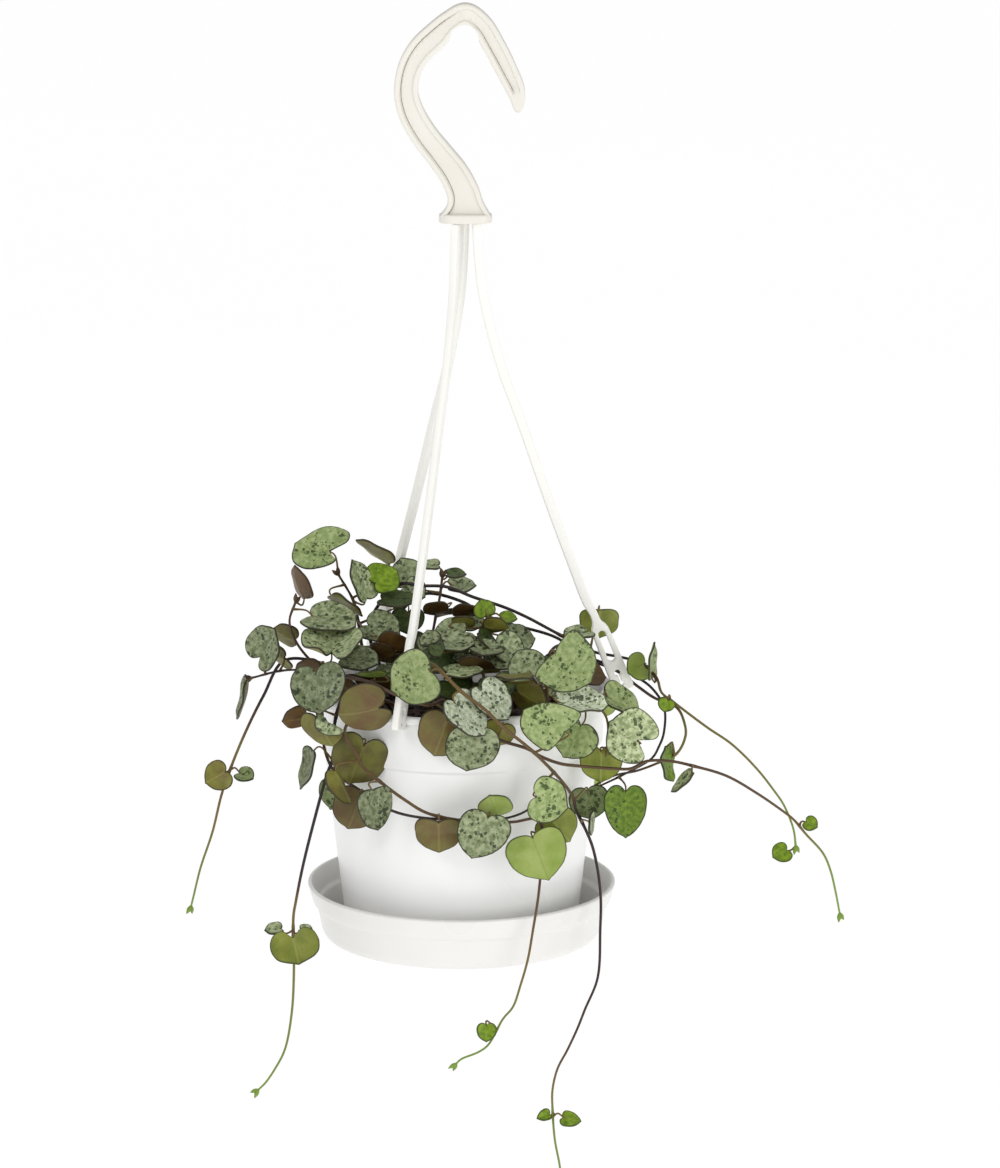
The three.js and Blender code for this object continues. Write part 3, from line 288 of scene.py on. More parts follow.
# The same plastic in the slender arms, painted paler than the hook's: painted light, a lit copy of one
# material.
PAINTED_LIT_HANGER = moulded_polypropylene("moulded_polypropylene_painted_lit", "#F4F3EE", "#F0EFE9", 0.36, 1.2)
WHITE = moulded_polypropylene("moulded_polypropylene_white", "#F6F6F5", "#F2F2F1", 0.3, 0.9)
SAUCER_WHITE = moulded_polypropylene("moulded_polypropylene_off_white", "#E6E5E2", "#E1E0DD", 0.3, 0.9)
PEAT = damp_peat_mix()
STEM = wiry_stem()
FACES = {
    "silver": waxy_upper_face("waxy_silver", "#B4BE95", "#7D8B5F", "#747F55", "#2C381D", 0.21),
    "frosted": waxy_upper_face("waxy_frosted_silver", "#CDD5BF", "#A5AF8E", "#8C9670", "#2C381D", 0.26),
    "fresh": waxy_upper_face("waxy_fresh_green", "#A5B37C", "#83965C", "#80914F", "#34421B", 0.16),
    "deep": waxy_upper_face("waxy_deep_green", "#6C8626", "#4F6A1A", "#7F9834", "#27340F", 0.14),
    # A darker copy of the deep green, for leaves inside the crown: painted shade.
    "dark": waxy_upper_face("waxy_green_painted_shade", "#4C5C2E", "#38471F", "#57673A", "#1D2712", 0.14),
    "young": waxy_upper_face("waxy_young_green", "#7F9B20", "#5E7A14", "#93AC3A", "#4A6A14", -0.04,
                             "#3F4D18"),
    "olive": smooth_under_face("smooth_olive", "#7B7C32", "#605526", "#9A9654"),
    "tan": smooth_under_face("smooth_tan", "#706B34", "#6B5233", "#988A54"),
    "brown": smooth_under_face("smooth_brown", "#664A22", "#4A3418", "#826A40"),
    "moss": smooth_under_face("smooth_moss", "#868C3C", "#687224", "#A5AC62", "#333A18"),
    "lime": smooth_under_face("smooth_lime", "#A3B264", "#889E42", "#7C8C40", "#39451A"),
}
# What the other side of a leaf looks like, for each side that shows.
OTHER_SIDE = {
    "silver": "olive", "frosted": "olive", "fresh": "lime", "deep": "lime", "dark": "olive", "young": "young",
    "olive": "silver", "tan": "silver", "brown": "silver", "moss": "fresh", "lime": "fresh",
}


# ---------------------------------------------------------------- curves and meshes


FINE_STEPS = 24  # how finely a soft curve is drawn between two of its points before it is cut evenly
ARC_STEPS = 16


def smooth_line(points, step):
    """A soft curve through the points in even steps, as [(place, how many points along)]."""
    ends = [2 * points[0] - points[1], *points, 2 * points[-1] - points[-2]]
    fine = []
    for i, (a, b, c, d) in enumerate(zip(ends, ends[1:], ends[2:], ends[3:])):
        ka, kb, kc = (max((q - p).length, 1e-4) ** 0.5 for p, q in ((a, b), (b, c), (c, d)))
        leave = ((b - a) / ka - (c - a) / (ka + kb) + (c - b) / kb) * kb
        arrive = ((c - b) / kb - (d - b) / (kb + kc) + (d - c) / kc) * kb
        for k in range(FINE_STEPS):
            u = k / FINE_STEPS
            bend = leave * (u - 2 * u * u + u ** 3) + arrive * (u ** 3 - u * u)
            fine.append((b + (c - b) * (3 * u * u - 2 * u ** 3) + bend, i + u))
    fine.append((points[-1], len(points) - 1))
    lengths = [0]
    for (p, _), (q, _) in zip(fine, fine[1:]):
        lengths.append(lengths[-1] + (q - p).length)
    count = max(2, math.ceil(lengths[-1] / step))
    line = []
    k = 0
    for n in range(count + 1):
        goal = lengths[-1] * n / count
        while k < len(fine) - 2 and lengths[k + 1] < goal:
            k += 1
        share = (goal - lengths[k]) / max(lengths[k + 1] - lengths[k], 1e-9)
        (p, i), (q, j) = fine[k], fine[k + 1]
        line.append((p.lerp(q, share), i + (j - i) * share))
    return line


def heading_at(line, i):
    """Which way a line drawn on a plane runs at one of its points."""
    back, ahead = line[max(i - 1, 0)], line[min(i + 1, len(line) - 1)]
    return Vector((ahead.x - back.x, ahead.y - back.y)).normalized()


def arc(centre, radius, start, sweep, steps):
    """The points of an arc, from its start and through its sweep in radians."""
    turns = [start + sweep * k / steps for k in range(steps + 1)]
    return [(centre.x + radius * math.cos(turn), centre.y + radius * math.sin(turn)) for turn in turns]


def at_share(pairs, share):
    """Reads a value off a row of (share, value) pairs."""
    for (a, low), (b, high) in zip(pairs, pairs[1:]):
        if share <= b:
            return low + (high - low) * max(0, share - a) / max(b - a, 1e-9)
    return pairs[-1][1]


def make_piece(name, points, faces, materials, sharp=None):
    """A smooth-shaded piece, with its edges kept crisp where they turn by more than the sharp angle."""
    mesh = bpy.data.meshes.new(name)
    mesh.from_pydata([Vector(p) * MM for p in points], [], faces)
    for material in materials:
        mesh.materials.append(material)
    mesh.polygons.foreach_set("use_smooth", [True] * len(mesh.polygons))
    if sharp:
        mesh.set_sharp_from_angle(angle=math.radians(sharp))
    piece = bpy.data.objects.new(name, mesh)
    bpy.context.collection.objects.link(piece)
    return piece


def bridged(rings):
    """The faces between each ring of points and the next, and one that closes each end."""
    faces = []
    for low, high in zip(rings, rings[1:]):
        for k in range(len(low)):
            n = (k + 1) % len(low)
            faces.append((low[k], low[n], high[n], high[k]))
    return [*faces, list(reversed(rings[0])), rings[-1]]


def quarter_turn(cuts):
    """The sine and cosine at even steps of a quarter turn."""
    turns = [math.pi / 2 * k / cuts for k in range(cuts + 1)]
    return [(math.sin(turn), math.cos(turn)) for turn in turns]


def stand_for(piece, slot, *nodes):
    """Holds a visual piece to the frame in place of the plain solids it finishes."""
    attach(piece, "root")
    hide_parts(*nodes)


def mesh_of(thing):
    """The mesh that an object comes to once its modifiers or its curves are worked out."""
    return bpy.data.meshes.new_from_object(thing.evaluated_get(bpy.context.evaluated_depsgraph_get()))


def carve(piece, tool, operation="DIFFERENCE"):
    """Cuts the tool out of a piece, or joins the two, and leaves one plain mesh."""
    modifier = piece.modifiers.new(operation.lower(), "BOOLEAN")
    modifier.object = tool
    modifier.operation = operation
    modifier.solver = "EXACT"
    mesh = mesh_of(piece)
    piece.modifiers.clear()
    piece.data = mesh
    bpy.data.objects.remove(tool)


def softened(profile, radius, cuts=3):
    """Rounds each corner of a profile that isn't on the axis."""
    out = [profile[0]]
    for before, corner, after in zip(profile, profile[1:], profile[2:]):
        here, back, ahead = Vector(corner), Vector(before) - Vector(corner), Vector(after) - Vector(corner)
        reach = min(radius, back.length * 0.45, ahead.length * 0.45)
        start, end = here + back.normalized() * reach, here + ahead.normalized() * reach
        for k in range(cuts + 1):
            u = k / cuts
            out.append(tuple(start * (1 - u) ** 2 + here * (2 * u * (1 - u)) + end * u * u))
    return [*out, profile[-1]]


def turned(profile, segments, centre=POT_X):
    """The points and faces of a closed profile of (radius, z), turned about the pot's axis."""
    points, faces, rings = [], [], []
    for radius, z in profile:
        first = len(points)
        if radius < 1e-6:
            points.append((centre, 0, z))
            rings.append([first] * segments)
            continue
        for k in range(segments):
            angle = 2 * math.pi * k / segments
            points.append((centre + radius * math.cos(angle), radius * math.sin(angle), z))
        rings.append(list(range(first, first + segments)))
    for low, high in zip(rings, rings[1:]):
        for k in range(segments):
            n = (k + 1) % segments
            corners = list(dict.fromkeys([low[k], low[n], high[n], high[k]]))
            if len(corners) > 2:
                faces.append(corners)
    return points, faces


# ---------------------------------------------------------------- hanger

# The hook's centre line from its tip round the bend and down to the flange, as (x, z, half width).
HOOK_LINE = [
    (20.9, -34, 1.3), (20.2, -26.5, 3.4), (16.3, -17.5, 4.1), (11.4, -8, 4.3), (6.6, -0.3, 4.3),
    (0.6, 3.9, 4.3), (-5.6, 0.9, 4.3), (-11.2, -4.5, 5.1), (-16.9, -10, 5), (-21, -16.9, 4.7),
    (-22.5, -25.8, 4.7), (-20.6, -33.9, 5), (-15.6, -42.8, 5.2), (-9.5, -50.6, 5.4), (-4, -58, 5.8),
    (-0.6, -65.1, 6.3), (0.2, -69.5, 7.1), (0.4, -72.6, 8.8), (0.4, -74.6, 10.2),
]


def bead_section(half, depth, recess, crisp):
    """Half of the hook's section, as (out from the middle, depth): a rounded bead along the edge and a
    sunk web beside it. A crisp bead stands higher over the web, with a fine groove along its foot."""
    recess *= 0.45 + 0.55 * crisp
    flat = depth / 2
    bead = min(BEAD_ROUND, half * 0.4)
    inner = max(half - HOOK_BEAD, half * 0.2)
    corner = min(WEB_ROUND, inner * 0.5)
    sunk = min(recess, corner)
    row = [(half - bead + bead * cos, flat - bead + bead * sin) for sin, cos in quarter_turn(4)]
    row += [(inner + corner - corner * sin, flat - sunk * (1 - cos)) for sin, cos in quarter_turn(3)]
    row += [(inner - corner * (1 - cos), flat - recess + sunk * (1 - sin)) for sin, cos in quarter_turn(3)]
    web = flat - recess
    edge = inner - corner
    row.append((max(edge - GROOVE_MIDDLE, edge * 0.6), web - min(HOOK_GROOVE, recess) * crisp))
    row.append((max(edge - GROOVE_WIDTH, edge * 0.3), web))
    return row


def make_hook():
    """The hook: one moulding that tapers to its tip, with a round seat under its bend."""
    line = [p for p, _ in smooth_line([Vector(p) for p in HOOK_LINE], HOOK_STEP)]
    travelled = 0
    points, rings = [], []
    for i, here in enumerate(line):
        travelled += (here - line[i - 1]).length if i else 0
        along = heading_at(line, i)
        out = Vector((-along.y, along.x))
        tip = math.sqrt(max(0.02, 1 - (1 - min(travelled / TIP_ROUND, 1)) ** 2))
        half = here.z * (0.25 + 0.75 * tip)
        recess = HOOK_RECESS * min(1, max(0, (travelled - WEB_START) / WEB_FADE))
        depth = HOOK_DEPTH * (0.45 + 0.55 * tip)
        past = (travelled - HOOK_CROWN) / CROWN_FADE
        inner_bead = bead_section(half, depth, recess, min(1, max(0, -past)))
        outer_bead = bead_section(half, depth, recess, min(1, max(0, past)))
        front = inner_bead + [(-n, y) for n, y in reversed(outer_bead)]
        section = front + [(n, -y) for n, y in reversed(front)]
        first = len(points)
        for n, y in section:
            x, z = here.x + out.x * n, here.y + out.y * n
            reach = math.hypot(x, z + SEAT_RADIUS)
            if reach < SEAT_RADIUS:
                x, z = x * SEAT_RADIUS / reach, (z + SEAT_RADIUS) * SEAT_RADIUS / reach - SEAT_RADIUS
            points.append((x, -y, z))
        rings.append(list(range(first, first + len(section))))
    hook = make_piece("hook_moulding", points, bridged(rings), [HANGER])
    carve(hook, foot_plate(), "UNION")
    hook.data.set_sharp_from_angle(angle=math.radians(CRISP_ANGLE))
    stand_for(hook, "hanger_plastic", "hanger_hook")


def foot_plate():
    """The rounded plate under the hook that carries the three arms."""
    edge = FLANGE_ROUND
    levels = [(edge * (1 - sin), FLANGE_BOTTOM + edge * (1 - cos)) for sin, cos in quarter_turn(4)]
    levels += [(inset, FLANGE_TOP + FLANGE_BOTTOM - z) for inset, z in reversed(levels)]
    reach = (FLANGE_WIDTH - FLANGE_DEPTH) / 2
    points, rings = [], []
    for inset, z in levels:
        radius = FLANGE_DEPTH / 2 - inset
        first = len(points)
        for side in (1, -1):
            for k in range(ARC_STEPS + 1):
                turn = -math.pi / 2 + math.pi * k / ARC_STEPS
                x = FLANGE_X + side * (reach + radius * math.cos(turn))
                points.append((x, side * radius * math.sin(turn), z))
        rings.append(list(range(first, len(points))))
    return make_piece("foot_plate", points, bridged(rings), [HANGER])


# Each arm's place on the plate, and where on the rim its strap sits, in degrees.
ARMS = {
    "front_left": ((-3.5, -3.2), 248.5),
    "back_left": ((0, 3.2), 124.8),
    "right": ((4.6, 0), 6.8),
}
# The bow of an arm, as (share of the way out to the rim, z).
ARM_BOW = [(0, -77.35), (0.044, -104), (0.18, -134), (0.326, -156), (0.53, -188), (0.692, -212), (0.82, -230)]
# The edge of a strap, as (height above the rim, half width).
STRAP_EDGE = [(27.5, 1.6), (23.6, 1.8), (21.4, 3.2), (19, 3.5), (8, 3.9), (0, 4.1), (-3.6, 4.2), (-4.6, 3.6)]
STRAP_LEAN = 0.4  # millimetres out for each millimetre down
STRAP_OUT = 2.4
# The slot and the keyhole in a strap: heights above the rim, radii, and the half width of the keyhole's neck.
SLOT_TOP, SLOT_BOTTOM, SLOT_RADIUS = 18.6, 8.9, 1.5
KEYHOLE_ENDS, KEYHOLE_RADII, KEYHOLE_NECK = (2.7, -1.7), (1.35, 0.9), 0.3
STRAP_ASIDE = 1  # how far the hole row stands off the arm's own line
TOE_HEIGHT = 1.4


def moulded_plate(name, outline, holes):
    """A flat plate with softly rounded edges, drawn by its outline and holes in its own plane."""
    edge = 0.45
    drawing = bpy.data.curves.new(name, "CURVE")
    drawing.dimensions = "2D"
    drawing.fill_mode = "BOTH"
    drawing.extrude = ARM_THICKNESS / 2 - edge
    drawing.bevel_depth = edge
    drawing.bevel_resolution = 2
    drawing.offset = -edge
    for loop in (outline, *holes):
        spline = drawing.splines.new("POLY")
        spline.points.add(len(loop) - 1)
        spline.use_cyclic_u = True
        for point, (u, v) in zip(spline.points, loop):
            point.co = (u, v, 0, 1)
    pattern = bpy.data.objects.new(name, drawing)
    bpy.context.collection.objects.link(pattern)
    mesh = mesh_of(pattern)
    bpy.data.objects.remove(pattern)
    return mesh


def capsule(start, end, radius):
    """The outline of a slot with round ends."""
    start, end = Vector(start), Vector(end)
    heading = math.atan2(end.y - start.y, end.x - start.x)
    far_end = arc(end, radius, heading - math.pi / 2, math.pi, 8)
    return far_end + arc(start, radius, heading + math.pi / 2, math.pi, 8)


def keyhole(ends, upper, lower, neck):
    """The outline of two round holes joined by a narrow neck."""
    top, bottom = (Vector(end) for end in ends)
    heading = math.atan2(top.y - bottom.y, top.x - bottom.x)
    loop = []
    for centre, radius, base in ((top, upper, heading + math.pi), (bottom, lower, heading)):
        gap = math.asin(neck / radius)
        loop += arc(centre, radius, base + gap, 2 * math.pi - 2 * gap, ARC_STEPS)
    return loop


def make_arm(name, top, rim_angle):
    """One thin arm from the hook's plate to the rim, with its slotted strap and the toe under the lip."""
    angle = math.radians(rim_angle)
    rim = Vector((POT_X + LIP_RADIUS * math.cos(angle), LIP_RADIUS * math.sin(angle)))
    start = Vector(top)
    span = (rim - start).length

    def on_strap(rise, aside=0.0):
        return (span + STRAP_OUT - STRAP_LEAN * rise + aside, RIM_Z + rise + STRAP_LEAN * aside)

    line = [Vector((share * span, z, ARM_HALF_WIDTH)) for share, z in ARM_BOW]
    line += [Vector((*on_strap(rise, STRAP_ASIDE), half)) for rise, half in STRAP_EDGE]
    left, right = [], []
    path = [p for p, _ in smooth_line(line, ARM_STEP)]
    for i, here in enumerate(path):
        along = heading_at(path, i)
        left.append((here.x - along.y * here.z, here.y + along.x * here.z))
        right.insert(0, (here.x + along.y * here.z, here.y - along.x * here.z))
    toe_end = span - LIP_RADIUS + BAND_RADIUS + GAP
    toe_top = RIM_Z - LIP_HEIGHT - GAP + 0.6
    toe_foot = toe_top - TOE_HEIGHT
    toe = [(right[0][0], toe_foot - 0.6), (toe_end + 0.4, toe_foot - 0.6), (toe_end, toe_foot),
           (toe_end, toe_top)]
    inner = [p for p in right if p[1] > toe_top + 1]
    holes = [
        capsule(on_strap(SLOT_TOP, STRAP_ASIDE), on_strap(SLOT_BOTTOM, STRAP_ASIDE), SLOT_RADIUS),
        keyhole([on_strap(rise, STRAP_ASIDE) for rise in KEYHOLE_ENDS], *KEYHOLE_RADII, KEYHOLE_NECK),
    ]
    mesh = moulded_plate("arm_" + name, [*left, *toe, *inner], holes)
    heading = (rim - start).normalized()
    for vertex in mesh.vertices:
        u, z, side = vertex.co
        place = start + heading * u + Vector((heading.y, -heading.x)) * side
        vertex.co = Vector((place.x, place.y, z)) * MM
    arm = bpy.data.objects.new("arm_" + name, mesh)
    bpy.context.collection.objects.link(arm)
    mesh.materials.clear()
    # The arms take the paler copy of the hanger's plastic: painted light.
    mesh.materials.append(PAINTED_LIT_HANGER)
    inside = BAND_RADIUS - 3
    lip_space = [(inside, RIM_Z + GAP), (inside, RIM_Z - LIP_HEIGHT - GAP),
                 (LIP_RADIUS + GAP, RIM_Z - LIP_HEIGHT - GAP), (LIP_RADIUS + GAP, RIM_Z + GAP)]
    points, faces = turned([*lip_space, lip_space[0]], segments=180)
    carve(arm, make_piece("lip_space", points, faces, [PAINTED_LIT_HANGER]))
    arm.data.polygons.foreach_set("use_smooth", [True] * len(arm.data.polygons))
    arm.data.set_sharp_from_angle(angle=math.radians(CRISP_ANGLE))
    stand_for(arm, "hanger_plastic", "hanger_arm_" + name)


# ---------------------------------------------------------------- pot, saucer and soil


def make_pot():
    """The pot: one thin wall from its rolled lip over the straight band to the foot and drained floor."""
    lip_bottom, band_bottom = RIM_Z - LIP_HEIGHT, RIM_Z - BAND_HEIGHT
    profile = [
        (0, POT_BASE_Z + 0.8), (POT_BASE_RADIUS - 5, POT_BASE_Z + 0.8),
        (POT_BASE_RADIUS - 4.2, POT_BASE_Z), (POT_BASE_RADIUS - 0.8, POT_BASE_Z),
        (POT_BASE_RADIUS, POT_BASE_Z + 0.8), (BAND_RADIUS - 2.4, band_bottom - 1),
        (BAND_RADIUS - 1, band_bottom), (BAND_RADIUS, lip_bottom), (LIP_RADIUS - 0.4, lip_bottom),
        (LIP_RADIUS, lip_bottom + 0.6), (LIP_RADIUS, RIM_Z - 0.8), (LIP_RADIUS - 0.8, RIM_Z),
        (BAND_RADIUS - 0.2, RIM_Z), (BAND_RADIUS - POT_WALL, RIM_Z - 1.5),
        (BAND_RADIUS - 1 - POT_WALL, band_bottom), (BAND_RADIUS - 2.4 - POT_WALL, band_bottom - 2),
        (POT_BASE_RADIUS - POT_WALL, POT_BASE_Z + POT_FLOOR), (0, POT_BASE_Z + POT_FLOOR),
    ]
    pot = make_piece("pot_shell", *turned(softened(profile, 0.6), segments=144), [WHITE])
    below, above = POT_BASE_Z - 4, POT_BASE_Z + 4
    drill = [(0, below), (DRAIN_RADIUS, below), (DRAIN_RADIUS, above), (0, above)]
    for k in range(DRAIN_HOLES):
        angle = 2 * math.pi * k / DRAIN_HOLES
        points, faces = turned(drill, segments=28, centre=0)
        shift = Vector((POT_X + DRAIN_CIRCLE * math.cos(angle), DRAIN_CIRCLE * math.sin(angle), 0))
        carve(pot, make_piece("drain_hole", [Vector(p) + shift for p in points], faces, [WHITE]))
    pot.data.set_sharp_from_angle(angle=math.radians(50))
    stand_for(pot, "pot_plastic", "pot")


def make_saucer():
    """The saucer: a shallow dish with a stepped wall and a thin rolled rim."""
    profile = [
        (0, SAUCER_BASE_Z), (SAUCER_BASE_RADIUS, SAUCER_BASE_Z),
        (SAUCER_BASE_RADIUS + 2.2, SAUCER_BASE_Z + 1), (SAUCER_BASE_RADIUS + 3.4, SAUCER_BASE_Z + 3.2),
        (SAUCER_RADIUS - 3.6, SAUCER_RIM_Z - 9), (SAUCER_RADIUS - 2.2, SAUCER_RIM_Z - 8),
        (SAUCER_RADIUS, SAUCER_RIM_Z - 0.6), (SAUCER_RADIUS - 0.6, SAUCER_RIM_Z),
        (SAUCER_RADIUS - 1.6, SAUCER_RIM_Z), (SAUCER_RADIUS - 3.8, SAUCER_RIM_Z - 8),
        (SAUCER_RADIUS - 5.2, SAUCER_RIM_Z - 9), (SAUCER_BASE_RADIUS + 1.2, SAUCER_BASE_Z + 4),
        (SAUCER_BASE_RADIUS, SAUCER_BASE_Z + SAUCER_FLOOR), (0, SAUCER_BASE_Z + SAUCER_FLOOR),
    ]
    points, faces = turned(softened(profile, 1.1), segments=160)
    saucer = make_piece("saucer_shell", points, faces, [SAUCER_WHITE], sharp=60)
    stand_for(saucer, "pot_plastic", "saucer")


def make_soil(dice):
    """The potting mix: a plug that fills the pot, uneven on top and strewn with crumbs."""
    band_bottom = RIM_Z - BAND_HEIGHT
    top_radius = BAND_RADIUS - 1 - POT_WALL - 0.3
    profile = [
        (0, POT_BASE_Z + POT_FLOOR + GAP), (POT_BASE_RADIUS - POT_WALL - 0.6, POT_BASE_Z + POT_FLOOR + GAP),
        (BAND_RADIUS - 2.4 - POT_WALL - 0.5, band_bottom - 2.5), (top_radius - 0.2, band_bottom),
        (top_radius, SOIL_Z - 1.5),
    ]
    profile += [(top_radius * (1 - k / SOIL_RINGS), SOIL_Z) for k in range(1, SOIL_RINGS + 1)]
    points, faces = turned(profile, segments=120)
    uneven = []
    for x, y, z in points:
        if z > SOIL_Z - 1:
            coarse = noise.fractal(Vector((x, y, 0)) * 0.11, 1.0, 2.0, 4)
            z += coarse * 1.1 - 0.5 + 0.5 * noise.noise(Vector((x, y, 5)) * 0.6)
        uneven.append(Vector((x, y, z)))
    for _ in range(CRUMBS):
        out, angle = CRUMB_REACH * math.sqrt(dice.random()), dice.uniform(0, 2 * math.pi)
        size = dice.uniform(0.7, 2.1)
        middle = Vector((POT_X + out * math.cos(angle), out * math.sin(angle), SOIL_Z - 0.3))
        grow_crumb(uneven, faces, middle, size, dice)
    soil = make_piece("potting_mix", uneven, faces, [PEAT], sharp=40)
    stand_for(soil, "soil", "potting_soil")


def grow_crumb(points, faces, middle, size, dice):
    """One angular crumb of bark or peat, half sunk in the surface."""
    seed = Vector((dice.uniform(0, 90), dice.uniform(0, 90), dice.uniform(0, 90)))
    first = len(points)
    points.append(middle - Vector((0, 0, size)))
    for level in (-0.5, 0.15, 0.7):
        for k in range(CRUMB_SIDES):
            angle = 2 * math.pi * k / CRUMB_SIDES + level
            ring = math.sqrt(1 - level * level)
            way = Vector((ring * math.cos(angle), ring * math.sin(angle), level))
            reach = size * (1 + 0.55 * noise.noise(seed + way * 1.4))
            points.append(middle + Vector((way.x * 1.2, way.y, way.z * 0.8)) * reach)
    points.append(middle + Vector((0, 0, size * 0.75)))
    low, middle_ring, high = (first + 1 + CRUMB_SIDES * ring for ring in range(3))
    for k in range(CRUMB_SIDES):
        n = (k + 1) % CRUMB_SIDES
        faces.append((first, low + n, low + k))
        faces.append((low + k, low + n, middle_ring + n, middle_ring + k))
        faces.append((middle_ring + k, middle_ring + n, high + n, high + k))
        faces.append((high + k, high + n, high + CRUMB_SIDES))


# ---------------------------------------------------------------- stems and leaves

# Stems and leaves are placed as a person in front of the pot judges them: (across, down, out), measured on
# the upright plane through the hook's seat and then along the line of sight.
# Each stem has its root on the soil as (x, y), then its nodes from there to its tip.
VINES = {
    "vine_far_left": (
        (-38, -2),
        [(-48, 258, 4), (-60, 252, 8), (-72, 252, 10), (-80, 266, 10), (-86, 278, 9), (-92, 292, 8),
         (-97, 306, 8), (-101, 322, 7), (-106, 337, 7), (-109, 349, 6), (-110, 353, 6)],
    ),
    "vine_left_trail": (
        (-28, -20),
        [(-40, 262, 40), (-48, 266, 46), (-52, 278, 46), (-52, 290, 44), (-55, 298, 43), (-60, 316, 43),
         (-65, 336, 42), (-68, 351, 42), (-69, 357, 42), (-69, 379, 41), (-70, 397, 41), (-73, 413, 40),
         (-77, 421, 40), (-81, 427, 40), (-84, 430, 40)],
    ),
    "vine_front_swag": (
        (-22, -32),
        [(-34, 268, 50), (-44, 274, 53), (-48, 281, 54), (-44, 289, 55), (-41, 295, 56), (-32, 303, 58),
         (-24, 309, 60), (-16, 314, 61), (-4, 317, 62), (8, 318, 62), (19, 318, 61), (29, 317, 60),
         (31, 325, 60), (30, 340, 60), (29, 350, 60), (27, 363, 60), (25, 375, 60), (22, 386, 60),
         (19, 395, 60), (15, 400, 60), (9, 411, 60), (5, 414, 60), (-2, 417, 60), (-4, 419, 60)],
    ),
    "vine_long_trail": (
        (-12, -30),
        [(-16, 262, 50), (-14, 253, 60), (-1, 265, 70), (8, 272, 75), (15, 279, 75.5), (28, 290, 67),
         (43, 308, 46), (44, 313, 45), (47, 319, 44), (51, 329, 43), (54, 347, 42), (54, 363, 42),
         (53, 383, 41), (48, 396, 41), (45, 404, 41), (41, 413, 41), (37, 421, 41), (35, 430, 41),
         (35, 437, 41), (36, 451, 41), (38, 462, 41), (39, 472, 41), (38, 480, 41)],
    ),
    "vine_right_upper": (
        (-30, 20),
        [(-38, 238, -16), (-26, 221, -14), (-17, 221.5, -12), (-7, 222, -8), (3, 226, -6), (15, 230, -5),
         (24, 234, -4), (35, 240, -6), (50, 248, -14), (62, 250.5, -14), (70, 253, -6), (76, 259, 2),
         (78, 265, 8), (83, 269, 12), (96, 279, 16), (106, 286, 20), (116, 296, 23), (123, 305, 25),
         (127, 311, 25), (131, 321, 25), (132, 328, 25)],
    ),
    "vine_right_lower": (
        (5, -35),
        [(-2.5, 268, 55), (-2, 274, 64), (6, 281, 65), (14, 284.5, 63), (25, 288, 58), (30, 291, 57),
         (38, 294, 53), (46, 295, 50), (59, 296, 47), (66, 296, 45), (72, 293, 44), (82, 293, 43),
         (91, 295, 41), (104, 299, 38), (116, 306, 36), (126, 313, 35), (131, 317, 34), (136, 323, 33),
         (143, 331, 32), (146, 338, 31), (148, 346, 30), (150, 356, 30)],
    ),
    "vine_right_loop": (
        (-24, 26),
        [(-28, 238, -30), (-17, 225, -26), (-1, 228, -22), (7, 233, -20), (18, 237, -17), (35, 242, -14),
         (48, 250, -19), (58, 254, -19), (67, 258, -8), (74, 263, 0), (79, 271, 8), (79, 281, 16),
         (77, 287, 24), (74, 292, 30), (62, 299, 36), (52, 304, 35), (47, 307, 36)],
    ),
    "vine_right_inner_loop": (
        (20, 12),
        [(36, 248, -24), (50, 252, -24), (60, 256, -20), (68, 262, -12), (75, 267, -5), (84, 271, 4),
         (87, 277, 12), (87.5, 283, 20), (84, 290, 26), (76, 294, 25), (68, 297, 27), (59, 299, 30),
         (50, 304, 30), (45, 308, 32)],
    ),
    "vine_left_runner": (
        (-6, -26),
        [(-9, 268, 54), (-15, 270, 63), (-27, 266, 66), (-37, 261, 60), (-48, 258, 52), (-60, 256, 42),
         (-73, 256, 30), (-85, 259, 26)],
    ),
    "vine_swag_loop": (
        (-32, -12),
        [(-44, 258, 28), (-54, 262, 33), (-57, 280, 35), (-53, 296, 38), (-42, 305, 47), (-30, 313, 54),
         (-19, 316, 58), (-4, 317, 58), (8, 317, 58), (18, 316, 57), (26, 312, 56), (31, 302, 56)],
    ),
    "vine_left_crown": (
        (-36, 8),
        [(-40, 252, -6), (-42, 238, -6), (-44, 228, -5), (-50, 217, -4)],
    ),
    "vine_left_clump": (
        (-42, -8),
        [(-50, 260, 14), (-59, 254, 18), (-66.5, 245, 15), (-69.5, 236, 11), (-67, 228, 7)],
    ),
    "vine_back_crown": (
        (-12, 14),
        [(-14, 250, -14), (-12, 236, -17), (-10, 226, -19), (-9, 218, -20)],
    ),
    "vine_middle_crown": (
        (8, -8),
        [(8, 262, 6), (6, 250, 7), (8, 240, 5), (9, 234, 3)],
    ),
    "vine_right_crown": (
        (28, -18),
        [(32, 270, 36), (34, 260, 47), (44, 267, 44), (55, 273, 44), (57, 282, 43), (57, 288, 42)],
    ),
    "vine_back_left": (
        (-28, 34),
        [(-25, 246, -46), (-27, 244, -56), (-35, 250, -64), (-41, 268, -68), (-42, 292, -68),
         (-40, 318, -67), (-43, 336, -67)],
    ),
    "vine_back_middle": (
        (2, 40),
        [(3, 247, -46), (4, 244, -58), (6, 250, -66), (8, 268, -69), (5, 294, -68), (10, 320, -67),
         (8, 344, -66)],
    ),
    "vine_back_right": (
        (30, 28),
        [(34, 248, -38), (40, 246, -50), (44, 252, -57), (45, 268, -60), (42, 294, -58), (44, 316, -57),
         (41, 334, -57)],
    ),
}

